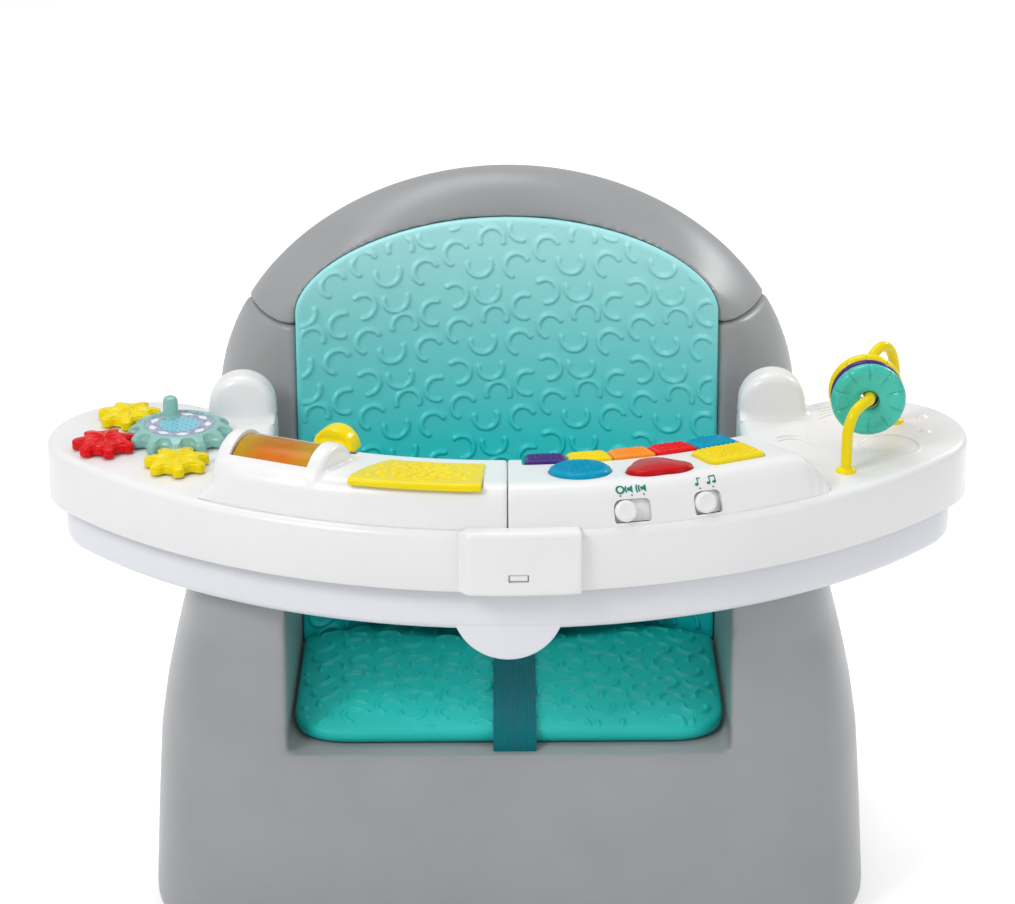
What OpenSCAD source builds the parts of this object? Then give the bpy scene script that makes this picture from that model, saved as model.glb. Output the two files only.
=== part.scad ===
// Baby floor seat with a snack tray and an activity tray that clips on top of it.
// X points to the right, Y to the back and Z up. The floor is at Z = 0.
// Trays and toys are placed around the ring axis, a vertical line behind the seat about which
// the crescent trays are struck: at(r, th, z) is r from that axis, th degrees to the right of
// straight ahead, and z above the deck of the activity tray.

/* [Backrest] */
// Half width of the backrest at its widest
back_half_w = 158; // [154:1:162]
// Rise of the arch above its widest level
arch_rise = 127.7; // [118:0.1:132]
// Height of the arch's widest level above the floor
arch_z = 230; // [226:1:236]
// Height of the seam between the shell and the arch
seam_z = 288; // [280:1:296]
// Thickness of the backrest at its middle
back_thick = 45; // [40:1:50]
// Front of the backrest at its middle, measured at the seam
back_y = 79; // [77:1:82]
// Backward lean of the backrest per millimetre of height
lean = 0.08; // [0.06:0.01:0.1]
// Radius of the hollow that takes the child's back
bucket_r = 213; // [205:1:225]
// Wall of the shell, the arch and the seat pan
shell_wall = 3; // [2.5:0.1:3.5]

/* [Seat] */
// Half width of the shell at the arm tops
arm_half_w = 166.5; // [163:0.5:170]
// Height of the arm tops
arm_top_z = 189.7; // [189.7:0.1:189.7]
// Front of the arms
arm_front_y = -88; // [-92:1:-84]
// Half width of the seat well between the arms
well_half_w = 112.5; // [110:0.5:114]
// Height of the seat pan
pan_z = 108; // [100:1:114]
// Width that the skirt adds to each side at the floor
skirt_out = 23; // [18:1:28]
// Height of the rubber feet under the shell
foot_h = 2.5; // [2:0.5:4]

/* [Pads] */
// Half width of the back pad's recess
pad_half_w = 112.5; // [110:0.5:114]
// Height above the floor at which the back pad's top curve starts
pad_arch_z = 294.7; // [290:0.1:298]
// Rise of the back pad's top curve
pad_arch_rise = 43; // [38:1:46]
// Depth of the recess that holds the back pad
pad_recess = 6; // [4:0.5:8]
// How far the back pad's crown stands out of its recess
pad_crown = 6; // [4:0.5:9]
// Thickness of the seat pad's middle
seat_pad_t = 13; // [10:1:16]

/* [Trays] */
// Height of the activity tray's deck above the floor
tray_z = 245; // [245:1:245]
// Distance of the ring axis behind the origin
ring_y = 166; // [164:1:168]
// Outer radius of the activity tray
tray_r = 300; // [298:1:302]
// Half width of the activity tray
tray_half_w = 240; // [238:1:244]
// Radius of the activity tray's round ends
lobe_r = 50; // [46:1:52]
// Radius of the torso opening's front
open_r = 235; // [232:1:236]
// Half width of the torso opening
open_half_w = 122; // [120:1:123]
// Height of the activity tray's band
band_h = 31; // [31:1:31]
// Wall of both trays
tray_wall = 2.4; // [2:0.1:3]
// Height of the snack tray
snack_h = 24.6; // [24.6:0.1:24.6]
// Inset of the snack tray under the activity tray
snack_inset = 8; // [6:1:10]

/* [Consoles] */
// Height of the consoles at their inner edge
console_in_h = 13.6; // [12:0.1:14]
// Height of the consoles at their front edge
console_out_h = 20.6; // [20:0.1:22]
// Radius of the consoles' upper front edge
console_r = 289; // [288:1:290]
// Wall of the consoles
console_wall = 2.2; // [1.8:0.1:2.4]
// Angle at which the right console ends
console_end = 33.5; // [32:0.5:35]

/* [Gears] */
// Tooth module of the gears
gear_m = 4.2; // [4.1:0.05:4.25]
// Teeth of the crank gear
big_teeth = 12; // [12:1:12]
// Teeth of the small gears
small_teeth = 7; // [7:1:7]
// Thickness of the crank gear
big_gear_h = 9; // [8:0.5:10]
// Thickness of the small gears
small_gear_h = 6; // [5.5:0.5:7]
// Radius of the spindles
spindle_r = 3.5; // [3:0.5:4]

/* [Drum and slider] */
// Radius of the drum
drum_r = 20; // [19:0.5:20]
// Length of the drum
drum_len = 43; // [40:1:44]
// Height of the drum's axis above the deck
drum_z = 7; // [6:0.5:8]
// Radius of the thumb slider
thumb_r = 11.2; // [10:0.2:12]
// Travel of the thumb slider to each side
thumb_travel = 8; // [6:1:9]

/* [Keys and buttons] */
// Width of the keys along the ring, in degrees
key_deg = 5.2; // [5:0.1:5.3]
// Height of the keys above the console
key_up = 2.6; // [2:0.1:3]
// Travel of the keys and buttons
press = 2; // [1.5:0.1:2]
// Radius of the round button
round_r = 15.2; // [14:0.2:15.6]
// Radius of the slide switches' knobs
knob_r = 5.3; // [5:0.1:5.4]

/* [Bead loop] */
// Radius of the bead wire
wire_r = 2.8; // [2.5:0.1:3]
// Radius of the discs on the wire
disc_r = 19; // [17:0.5:20]
// Radius of the discs' bores
disc_bore_r = 5; // [4.6:0.1:5.4]

/* [Hidden] */

$fn = 64;
GAP = 0.3;          // air between pieces that don't touch
SLIP = 0.06;        // radial clearance of a running fit
EPS = 0.01;

GREY = [0.61, 0.61, 0.61];
TEAL = [0.10, 0.72, 0.70];
WHITE = [0.93, 0.93, 0.92];
DARK_TEAL = [0.0, 0.45, 0.5];
YELLOW = [0.94, 0.86, 0.12];
RED = [0.88, 0.12, 0.15];
PALE_TEAL = [0.58, 0.77, 0.75];
AMBER = [0.85, 0.66, 0.14, 0.6];
ORANGE = [0.92, 0.42, 0.14];
BLUE = [0.04, 0.62, 0.76];
PURPLE = [0.29, 0.20, 0.52];
BLACK = [0.12, 0.12, 0.13];
STEEL = [0.75, 0.76, 0.78];
GREEN = [0.10, 0.42, 0.25];

// ---------------------------------------------------------------- lofts

function mean(pts) = [for (k = [0:2]) [for (p = pts) p[k]] * [for (p = pts) 1] / len(pts)];

// Closed skin over a list of equal rings. Rings run anticlockwise, seen from the last one.
module skin(rings) {
    n = len(rings[0]);
    m = len(rings);
    points = concat([for (ring = rings) each ring], [mean(rings[0]), mean(rings[m - 1])]);
    sides = [for (j = [0:m - 2], i = [0:n - 1])
        let (a = j * n + i, b = j * n + (i + 1) % n, c = a + n, d = b + n)
        each [[a, d, b], [a, c, d]]];
    first_cap = [for (i = [0:n - 1]) [m * n, i, (i + 1) % n]];
    last_cap = [for (i = [0:n - 1]) [m * n + 1, (m - 1) * n + (i + 1) % n, (m - 1) * n + i]];
    polyhedron(points = points, faces = concat(sides, first_cap, last_cap), convexity = 6);
}

function sgn_pow(v, p) = sign(v) * pow(abs(v), p);

// The same list with steps values for each stretch, on a smooth curve through its values
function spline(a, b, c, d, t) = 0.5 * (2 * b + (c - a) * t + (2 * a - 5 * b + 4 * c - d) * t * t
    + (3 * b - a - 3 * c + d) * t * t * t);
function refined(list, steps) = let (last = len(list) - 1) concat(
    [for (i = [0:last - 1], k = [0:steps - 1])
        spline(list[max(i - 1, 0)], list[i], list[i + 1], list[min(i + 2, last)], k / steps)],
    [list[last]]);

// Rounded-rectangle ring at height z, between yf and yb
function plan_ring(w, yf, yb, z, n = 48, power = 5) =
    [for (i = [0:n - 1]) let (t = 360 * (i + 0.5) / n)
        [w * sgn_pow(cos(t), 2 / power), (yf + yb) / 2 + (yb - yf) / 2 * sgn_pow(sin(t), 2 / power), z]];

// ---------------------------------------------------------------- backrest

BACK_LOW_Z = 100;             // the backrest's walls end inside the seat body
SIDE_SLOPE = 0.05;            // widening of the backrest below its widest level
SIL_Y = 22;                   // the silhouette lies this far behind the middle's front
RIM_POWER = 1.65;             // roundness of the rim in front of the silhouette
REAR_POWER = 2.4;             // roundness behind it
ARCH_STEPS = 26;
SIDE_STEPS = 4;
BOTTOM_STEPS = 8;

// Front of the bucket at x, z
function front_y(x, z) = back_y + lean * (z - seam_z) - x * x / (2 * bucket_r);
function silhouette_y(z) = back_y + SIL_Y + lean * (z - seam_z);
function rear_y(x, z) = back_y + back_thick + lean * (z - seam_z)
    - (back_thick - SIL_Y) * pow(x / back_half_w, 2);

// Outline loops seen from the front: over the arch, down the right side, along the bottom and
// up the left side
function arch_loop(w, z0, rise, low, slope) = let (low_w = w + (z0 - low) * slope) concat(
    [for (k = [0:ARCH_STEPS]) let (t = 180 - 180 * k / ARCH_STEPS) [w * cos(t), z0 + rise * sin(t)]],
    [for (k = [1:SIDE_STEPS]) let (z = z0 + (low - z0) * k / SIDE_STEPS) [w + (z0 - z) * slope, z]],
    [for (k = [1:BOTTOM_STEPS - 1]) [low_w * (1 - 2 * k / BOTTOM_STEPS), low]],
    [for (k = [SIDE_STEPS:-1:1]) let (z = z0 + (low - z0) * k / SIDE_STEPS) [-w - (z0 - z) * slope, z]]);

function outer_loop(inset) =
    arch_loop(back_half_w - inset, arch_z, arch_rise - inset, BACK_LOW_Z + inset, SIDE_SLOPE);
function pad_loop(inset) =
    arch_loop(pad_half_w - inset, pad_arch_z, pad_arch_rise - inset, BACK_LOW_Z + inset, 0);

function mix(a, b, t) = a + (b - a) * t;
function rim_curve(u, p) = 1 - pow(1 - pow(u, p), 1 / p);

RIM_US = [0, 0.25, 0.5, 0.7, 0.85, 0.96, 1];
REAR_US = [0.97, 0.85, 0.65, 0.4];
INNER_S = [0.85, 0.68, 0.5, 0.3, 0.06];

function rim_ring(u, inset) = let (o = outer_loop(inset), p = pad_loop(inset))
    [for (i = [0:len(o) - 1]) let (q = mix(p[i], o[i], u),
            y0 = front_y(p[i][0], p[i][1]) + inset, y1 = silhouette_y(q[1]))
        [q[0], mix(y0, y1, rim_curve(u, RIM_POWER)), q[1]]];
function rear_ring(u, inset) = let (o = outer_loop(inset), p = pad_loop(inset))
    [for (i = [0:len(o) - 1]) let (q = mix(p[i], o[i], u), y0 = rear_y(q[0], q[1]) - inset,
            y1 = silhouette_y(q[1]))
        [q[0], mix(y0, y1, rim_curve(u, REAR_POWER)), q[1]]];
BACK_MID_Z = 230;
function inner_ring(s, inset, rear) = let (p = pad_loop(inset))
    [for (q = p) let (x = q[0] * s, z = BACK_MID_Z + (q[1] - BACK_MID_Z) * s)
        [x, rear ? rear_y(x, z) - inset : front_y(x, z) + pad_recess + inset, z]];

module back_slab(inset) {
    skin(concat(
        [for (k = [len(INNER_S) - 1:-1:0]) inner_ring(INNER_S[k], inset, false)],
        [inner_ring(0.995, inset, false)],
        [for (u = RIM_US) rim_ring(u, inset)],
        [for (u = REAR_US) rear_ring(u, inset)],
        [for (s = concat([1], INNER_S)) inner_ring(s, inset, true)]));
}

module above(z) { translate([-400, -400, z]) cube([800, 800, 600]); }
module below(z) { translate([-400, -400, z - 600]) cube([800, 800, 600]); }

// ---------------------------------------------------------------- seat body

BODY_BACK_Y = 131.5;
// Height, and the share of the skirt that the body carries there
BODY_LEVELS = [[0, 0.96], [6, 1], [55, 0.87], [97, 0.74], [122, 0.57], [141, 0.38], [151, 0.26],
    [160, 0.14], [170, 0.07], [183, 0]];
TOP_ROUND = [[4, 0], [1.5, 1.6], [0, 5]];     // depth below the arm top, and inset

function body_ring(level, inset) = let (z = level[0], add = skirt_out * level[1])
    plan_ring(arm_half_w + add - inset, arm_front_y - 0.8 * add + inset,
        BODY_BACK_Y + 0.35 * add - inset, max(z, foot_h));
module body_loft(inset) {
    skin(concat(
        [for (level = BODY_LEVELS) body_ring(level, inset)],
        [for (round = TOP_ROUND) body_ring([arm_top_z - inset - round[0], 0], inset + round[1])]));
}

// Plan of the seat well: straight sides, and a back that follows the bucket
module well(grow, low) {
    z_ref = arm_top_z;
    back = [for (k = [-6:6]) let (x = (well_half_w + grow) * k / 6)
        [-x, front_y(x, z_ref) + pad_recess + shell_wall]];
    translate([0, 0, low]) linear_extrude(200)
        polygon(concat([[-well_half_w - grow, -220], [well_half_w + grow, -220]], back));
}

SOCKET_X = 144;
SOCKET_Y = -28;
PEG = [26, 12, 30];
BOSS_R = 5;
BASE_BOSSES = [for (x = [-80, 80], y = [-62, 36]) [x, y]];
BASE_T = 3;
STRAP_W = 22;
STRAP_T = 2;
CROTCH_X = 3;
CROTCH_SLOT_Y = -93;
JOIN_PEG_R = 6;
JOIN_X = 112;
WEB_HOLE = [110, 12];
JOIN_Y = back_y + 3;
WEB_HOLE_Y = back_y + back_thick - 20;

// Opening through both webs at the seam, for the moulding gas
module web_hole() {
    translate([-WEB_HOLE[0] / 2, WEB_HOLE_Y - WEB_HOLE[1] / 2, seam_z - 20])
        cube([WEB_HOLE[0], WEB_HOLE[1], 40]);
}

module seat_shell() {
    color(GREY) difference() {
        union() {
            difference() {
                union() {
                    difference() { body_loft(0); well(0, pan_z); }
                    intersection() { back_slab(0); below(seam_z - GAP / 2); }
                }
                difference() {
                    body_loft(shell_wall);
                    well(shell_wall, pan_z - shell_wall);
                    below(0);
                }
                intersection() { back_slab(shell_wall); below(seam_z - shell_wall); }
                translate([0, 0, foot_h - 1]) linear_extrude(BASE_T + 3) base_outline(shell_wall);
            }
            for (p = BASE_BOSSES) translate([p[0], p[1], foot_h + BASE_T + 1 + GAP])
                cylinder(r = BOSS_R, h = pan_z - foot_h - BASE_T - 2);
            for (sx = [-1, 1]) {
                translate([sx * SOCKET_X - PEG[0] / 2 - 2.5, SOCKET_Y - PEG[1] / 2 - 2.5, arm_top_z - 36])
                    cube([PEG[0] + 5, PEG[1] + 5, 35.5]);
                translate([sx * JOIN_X, JOIN_Y, seam_z - 34]) cylinder(r = JOIN_PEG_R + 3, h = 33);
            }
        }
        for (sx = [-1, 1]) {
            translate([sx * SOCKET_X - PEG[0] / 2 - GAP, SOCKET_Y - PEG[1] / 2 - GAP, arm_top_z - 33])
                cube([PEG[0] + 2 * GAP, PEG[1] + 2 * GAP, 40]);
            translate([sx * JOIN_X, JOIN_Y, seam_z - 30]) cylinder(r = JOIN_PEG_R + 0.2, h = 40);
        }
        for (p = BASE_BOSSES) translate([p[0], p[1], 0]) cylinder(r = 1.6, h = 30);
        web_hole();
        translate([CROTCH_X - STRAP_W / 2 - 1, CROTCH_SLOT_Y - 2, pan_z - 20])
            cube([STRAP_W + 2, STRAP_T + 4, 40]);
    }
}

module backrest_arch() {
    color(GREY) union() {
        difference() {
            intersection() { back_slab(0); above(seam_z + GAP / 2); }
            intersection() { back_slab(shell_wall); above(seam_z + shell_wall); }
            web_hole();
        }
        for (sx = [-1, 1]) translate([sx * JOIN_X, JOIN_Y, seam_z - 28])
            cylinder(r = JOIN_PEG_R, h = 30);
    }
}

// ---------------------------------------------------------------- base

module base_outline(inset) {
    ring = body_ring(BODY_LEVELS[0], inset);
    polygon([for (p = ring) [p[0], p[1]]]);
}
module base_plate() {
    color(GREY) difference() {
        translate([0, 0, foot_h]) linear_extrude(BASE_T) base_outline(shell_wall + GAP);
        for (p = BASE_BOSSES) translate([p[0], p[1], -1]) cylinder(r = 2.2, h = 20);
    }
}
FOOT_R = 14;
module foot_pads() {
    color(BLACK) for (x = [-150, 150], y = [-80, 104]) translate([x, y, 0]) cylinder(r = FOOT_R, h = foot_h);
}
module base_screws() {
    color(STEEL) for (p = BASE_BOSSES) translate([p[0], p[1], 0]) {
        translate([0, 0, 0.6]) cylinder(r = 3.6, h = foot_h - 0.6);
        cylinder(r = 1.6, h = 26);
    }
}

// ---------------------------------------------------------------- pads and straps

PAD_GAP = 0.8;
PAD_LIP = 2;                  // the back pad's edge stands this far out of its recess
BACK_PAD_LOW = 1.5;           // the back pad ends this far above the seat pan
SEAT_PAD_FRONT = -86;
SEAT_PAD_EDGE = 7;            // thickness of the seat pad at its edge

// Ring of the back pad, shrunk by s about its middle, proud of the bucket by out
function back_pad_ring(inset, s, out) = let (mid = [0, BACK_MID_Z],
    loop = arch_loop(pad_half_w - PAD_GAP - inset, pad_arch_z, pad_arch_rise - PAD_GAP - inset,
        pan_z + BACK_PAD_LOW + inset, 0))
    [for (q = loop) let (p = mid + (q - mid) * s) [p[0], front_y(p[0], p[1]) - out, p[1]]];

module back_pad() {
    crown = pad_crown;
    deep = -pad_recess + 3 * GAP;
    color(TEAL) difference() {
        skin([
        back_pad_ring(0, 0.05, crown), back_pad_ring(0, 0.35, crown), back_pad_ring(0, 0.65, crown - 0.8),
        back_pad_ring(0, 0.85, crown - 2), back_pad_ring(3, 1, PAD_LIP + 0.6), back_pad_ring(0.8, 1, PAD_LIP),
        back_pad_ring(0, 1, PAD_LIP - 1.2), back_pad_ring(0.6, 1, -1.5), back_pad_ring(1.6, 1, deep),
        for (s = INNER_S) back_pad_ring(1.6, s, deep)]);
        waist_slot(-1);
        waist_slot(1);
    }
}

// Back edge of the seat pad, clear of the back pad's crown
function seat_pad_back(x) = front_y(x, pan_z + SEAT_PAD_EDGE) - pad_crown - 1;
function seat_pad_ring(inset, s, z) = let (mid = [0, -14])
    [for (i = [0:47]) let (t = 360 * (i + 0.5) / 48, u = sgn_pow(cos(t), 1 / 3), v = sgn_pow(sin(t), 1 / 3),
            x = u * (well_half_w - 1.5 - inset),
            y = mix(SEAT_PAD_FRONT + inset, seat_pad_back(x) - inset, (v + 1) / 2),
            p = mid + ([x, y] - mid) * s)
        [p[0], p[1], pan_z + GAP + z]];
module seat_pad() {
    e = SEAT_PAD_EDGE;
    rise = seat_pad_t - e;
    color(TEAL) skin([seat_pad_ring(3, 0.1, 0), seat_pad_ring(3, 1, 0), seat_pad_ring(0.6, 1, 1.5),
        seat_pad_ring(0, 1, e * 0.55), seat_pad_ring(1.2, 1, e), seat_pad_ring(1.2, 0.93, e + rise * 0.45),
        seat_pad_ring(1.2, 0.8, e + rise * 0.7), seat_pad_ring(1.2, 0.5, e + rise * 0.95),
        seat_pad_ring(1.2, 0.1, seat_pad_t)]);
}

function unit(v) = v / norm(v);
function tangent(path, i) = unit(path[min(i + 1, len(path) - 1)] - path[max(i - 1, 0)]);

// Flat strap along a path; wides holds the direction of its width at each point
module ribbon(path, wides, grow = 0) {
    skin([for (i = [0:len(path) - 1])
        let (across = wides[i] * (STRAP_W / 2 + grow),
            up = unit(cross(wides[i], tangent(path, i))) * (STRAP_T / 2 + grow))
        [path[i] - across - up, path[i] - across + up, path[i] + across + up, path[i] + across - up]]);
}

PAD_TOP = pan_z + GAP + seat_pad_t;
STRAP_Z = PAD_TOP + 0.5 + STRAP_T / 2;
BUCKLE = [40, 32, 9];
BUCKLE_Y = 13;

// Points of the crotch strap: distance back and height above the seat pan
CROTCH_RISE = [[CROTCH_SLOT_Y, -9], [CROTCH_SLOT_Y, 2], [-91.5, 6.5], [-88, 9.8], [-80, 12.2],
    [-66, 13.8], [-50, 14.5], [-30, STRAP_Z - pan_z], [BUCKLE_Y - GAP, STRAP_Z - pan_z]];
module crotch_strap() {
    path = [for (p = CROTCH_RISE) [CROTCH_X, p[0], pan_z + p[1]]];
    color(DARK_TEAL) ribbon(path, [for (p = path) [1, 0, 0]]);
}
// Waist strap from a slot in the back pad to the buckle; side is -1 or 1
WAIST_TURN = [0, 0.3, 0.6, 0.85, 1];
WAIST_STEPS = 5;
function waist_end_x(side) = CROTCH_X + side * (BUCKLE[0] / 2 + GAP);
function waist_path(side) = refined([[side * 89, 48, 143], [side * 74, 40.3, 138],
    [side * 56, 36, 132.5], [side * 38, 31.5, 128.4],
    [waist_end_x(side), BUCKLE_Y + BUCKLE[1] / 2, PAD_TOP + 0.4 + BUCKLE[2] / 2]], WAIST_STEPS);
function waist_wides(side) = [for (t = refined(WAIST_TURN, WAIST_STEPS))
    unit(mix([-side * 0.12, 0.5, 1], [0, 1, 0.1], t))];
module waist_strap(side) color(DARK_TEAL) ribbon(waist_path(side), waist_wides(side));

// Slot in the back pad, along the strap's own first points and on behind its end
SLOT_POINTS = 9;
SLOT_BEHIND = 2.2;
module waist_slot(side) {
    path = waist_path(side);
    wides = waist_wides(side);
    ribbon([path[0] - tangent(path, 0) * SLOT_BEHIND, for (i = [0:SLOT_POINTS - 1]) path[i]],
        [wides[0], for (i = [0:SLOT_POINTS - 1]) wides[i]], 1);
}
module waist_strap_left() { waist_strap(-1); }
module waist_strap_right() { waist_strap(1); }

module round_plate(w, d, h, r) {
    linear_extrude(h) hull() for (x = [r, w - r], y = [r, d - r]) translate([x, y]) circle(r, $fn = 32);
}
module buckle() {
    translate([CROTCH_X - BUCKLE[0] / 2, BUCKLE_Y, PAD_TOP + 0.4]) color(BLACK)
        round_plate(BUCKLE[0], BUCKLE[1], BUCKLE[2], 6);
}

// ---------------------------------------------------------------- places on the trays

module at(r, th, z = 0) {
    translate([0, ring_y, tray_z + z]) rotate([0, 0, th]) translate([0, -r, 0]) children();
}
// Profile in (radius, height above the deck), swept about the ring axis from angle a to b
module ring_slice(a, b, profile) {
    translate([0, ring_y, tray_z]) rotate([0, 0, a - 90]) rotate_extrude(angle = b - a, $fn = 180)
        polygon(profile);
}
module box_profile_slice(a, b, r0, r1, z0, z1) {
    ring_slice(a, b, [[r0, z0], [r1, z0], [r1, z1], [r0, z1]]);
}

LOBE_X = tray_half_w - lobe_r;
LOBE_Y = -sqrt(pow(tray_r - lobe_r, 2) - LOBE_X * LOBE_X);
LOBE_DEG = atan2(LOBE_X, -LOBE_Y);
SHOULDER_BACK_Y = -126;       // back of the tray beside the seat, from the ring axis
SHOULDER_X = [open_half_w + 2, 157.5];

// Crescent outline about the ring axis; inset moves every edge inwards
module tray_outline(inset = 0, $fn = 180) {
    difference() {
        union() {
            intersection() {
                circle(tray_r - inset);
                polygon([[0, 0], for (sx = [-1, 1]) [sx * 600 * sin(LOBE_DEG), -600 * cos(LOBE_DEG)]]);
                translate([-300, -400]) square([600, 400 + SHOULDER_BACK_Y - inset]);
            }
            for (sx = [-1, 1]) translate([sx * LOBE_X, LOBE_Y]) circle(lobe_r - inset);
            for (sx = [-1, 1]) translate([sx > 0 ? open_half_w : -LOBE_X, LOBE_Y])
                square([LOBE_X - open_half_w, SHOULDER_BACK_Y - inset - LOBE_Y]);
        }
        intersection() {
            circle(open_r + inset);
            translate([-open_half_w - inset, -400]) square([2 * (open_half_w + inset), 400]);
        }
        translate([-open_half_w - inset, -open_r * 0.75]) square([2 * (open_half_w + inset), 400]);
    }
}
module tray_plate(z0, z1, inset) {
    translate([0, ring_y, tray_z + z0]) linear_extrude(z1 - z0) tray_outline(inset);
}

// ---------------------------------------------------------------- snack tray

SNACK_Z0 = arm_top_z - tray_z;                  // underside of the snack tray, from the deck
SNACK_Z1 = SNACK_Z0 + snack_h;
GRIP_HALF_W = 25;
GRIP_DROP = 15.5;

module snack_tray() {
    grip_r = (pow(GRIP_HALF_W, 2) + pow(GRIP_DROP, 2)) / (2 * GRIP_DROP);
    color(WHITE) difference() {
        union() {
            tray_plate(SNACK_Z0, SNACK_Z1, snack_inset);
            intersection() {
                at(tray_r - snack_inset, 0, SNACK_Z0 + grip_r - GRIP_DROP)
                    rotate([-90, 0, 0]) cylinder(r = grip_r, h = 8, $fn = 96);
                box_profile_slice(-8, 8, tray_r - snack_inset - 4, tray_r - snack_inset - 0.5, -80, SNACK_Z0 + 1);
            }
            for (sx = [-1, 1]) translate([sx * SOCKET_X - PEG[0] / 2, SOCKET_Y - PEG[1] / 2,
                arm_top_z - PEG[2]]) cube([PEG[0], PEG[1], PEG[2] + 1]);
        }
        tray_plate(SNACK_Z0 + tray_wall + 0.2, SNACK_Z1 + 1, snack_inset + tray_wall);
    }
}

// ---------------------------------------------------------------- activity tray

TRAY_BOSS_R = 4;
TRAY_BOSSES = [[292, 0], [285, 36], [285, -36], [271.5, 55.9], [271.5, -55.9], [207, 50.5], [207, -50.5]];
BOTTOM_Z = [-band_h + 0.3, -band_h + 2.5];
SHOULDER_TOP = 24;
SHOULDER_DEPTH = 20;
KEYPAD_R = [open_r + 6, console_r - 2];
KEYPAD_DEG = [1.4, 30];
BOARD_R = [open_r + 4, console_r + 2.5];
BOARD_DEG = [1.1, 31.5];

module shoulder(inset) {
    half = (SHOULDER_X[1] - SHOULDER_X[0]) / 2 - inset;
    depth = SHOULDER_DEPTH - 2 * inset;
    y = ring_y + SHOULDER_BACK_Y - inset;
    intersection() {
        translate([(SHOULDER_X[0] + SHOULDER_X[1]) / 2, y, tray_z + SHOULDER_TOP - inset - half])
            rotate([90, 0, 0]) {
                cylinder(r = half, h = depth);
                translate([-half, -SHOULDER_TOP - 20, 0]) cube([2 * half, SHOULDER_TOP + 20, depth]);
            }
        translate([100, y - depth / 2, tray_z + SHOULDER_TOP - inset - depth / 2]) rotate([0, 90, 0]) {
            cylinder(r = depth / 2, h = 80);
            translate([0, -depth / 2, 0]) cube([SHOULDER_TOP + 30, depth, 80]);
        }
        translate([0, 0, tray_z - 2.4]) above(0);
    }
}
module both_shoulders(inset) {
    shoulder(inset);
    mirror([1, 0, 0]) shoulder(inset);
}

RING_MARK_R = 16;
RING_MARK = [271, 46.7];      // radius and angle of the embossed ring

module toy_tray_shell() {
    color(WHITE) difference() {
        union() {
            difference() {
                union() { tray_plate(-band_h, 0, 0); both_shoulders(0); }
                tray_plate(-band_h - 1, -tray_wall, tray_wall);
                both_shoulders(tray_wall);
            }
            for (b = TRAY_BOSSES) at(b[0], b[1], BOTTOM_Z[1] + GAP)
                cylinder(r = TRAY_BOSS_R, h = -BOTTOM_Z[1] - GAP - 1);
        }
        for (b = TRAY_BOSSES) at(b[0], b[1], -band_h) cylinder(r = 1.3, h = band_h - 6);
        for (g = GEARS) gear_place(g) translate([0, 0, -10]) cylinder(r = spindle_r + SLIP, h = 20);
        box_profile_slice(KEYPAD_DEG[0] - 0.1, KEYPAD_DEG[1] + 0.1, KEYPAD_R[0] - 0.5, KEYPAD_R[1] + 0.5, -9, 9);
        drum_space(0.4);
        at(RING_MARK[0], RING_MARK[1], -0.6) difference() {
            cylinder(r = RING_MARK_R, h = 5);
            translate([0, 0, -1]) cylinder(r = RING_MARK_R - 1.6, h = 9);
        }
        for (f = WIRE_FEET) translate([f[0], ring_y + f[1], tray_z - 6]) cylinder(r = wire_r + SLIP, h = 12);
    }
}

LATCH_DEG = [-4.6, 6.7];
LATCH_OUT = 5.5;
LATCH_SLOT = [5.1, 10, 4.4];  // middle X, width and height of the slot
LATCH_SLOT_Z = -21.2;
module latch_cover() {
    r0 = tray_r;
    r1 = tray_r + LATCH_OUT;
    color(WHITE) difference() {
        ring_slice(LATCH_DEG[0], LATCH_DEG[1],
            [[r0, -band_h], [r1 - 1, -band_h], [r1, -band_h + 1.5], [r1, 0.5], [r1 - 1.5, 2],
            [r0 - 3, 2], [r0 - 3, 0], [r0, 0]]);
        latch_block(0, -LATCH_OUT - 20, 20);
        latch_block(LATCH_POCKET, -LATCH_POCKET_D, 20);
    }
}
LATCH_POCKET = 1.2;
LATCH_POCKET_D = 3;
LATCH_TRAVEL = 1.4;
// Block in the slot: grown about its outline, between two distances from the tray's front
module latch_block(grow, y0, y1) {
    w = LATCH_SLOT[1] + 2 * grow;
    h = LATCH_SLOT[2] + 2 * grow;
    translate([LATCH_SLOT[0] - w / 2, ring_y - tray_r + y0, tray_z + LATCH_SLOT_Z - h / 2])
        cube([w, y1 - y0, h]);
}
module latch_button() {
    flange = -LATCH_POCKET_D + GAP;
    color(WHITE) {
        latch_block(-GAP, -LATCH_OUT + 0.6, flange + 0.8);
        latch_block(LATCH_POCKET - GAP, flange, flange + 0.8);
    }
}

DOOR = [58, 52];
DOOR_AT = [264, -9.5];
SPEAKER_R = 18;
SPEAKER_AT = [266, 25];
module door_shape(grow, z0, z1) {
    at(DOOR_AT[0], DOOR_AT[1], z0) translate([-DOOR[0] / 2 - grow, -DOOR[1] / 2 - grow, 0])
        cube([DOOR[0] + 2 * grow, DOOR[1] + 2 * grow, z1 - z0]);
}
module tray_bottom() {
    color(WHITE) difference() {
        tray_plate(BOTTOM_Z[0], BOTTOM_Z[1], tray_wall + GAP);
        for (b = TRAY_BOSSES) at(b[0], b[1], -band_h - 1) cylinder(r = 1.9, h = 9);
        door_shape(GAP, -band_h - 1, 0);
        at(SPEAKER_AT[0], SPEAKER_AT[1], -band_h - 1) for (k = [0:6])
            rotate([0, 0, 60 * k]) translate([k == 0 ? 0 : 9, 0, 0]) cylinder(r = 1.6, h = 9);
    }
}
module tray_screws() {
    color(STEEL) for (b = TRAY_BOSSES) at(b[0], b[1], BOTTOM_Z[1] - 1) {
        cylinder(r = 1.3, h = 12);
        translate([0, 0, -1]) cylinder(r = 1.8, h = 1.2);
    }
}
module battery_door() { color(WHITE) door_shape(0, BOTTOM_Z[0], BOTTOM_Z[1]); }
CELL_R = 7.1;
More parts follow.
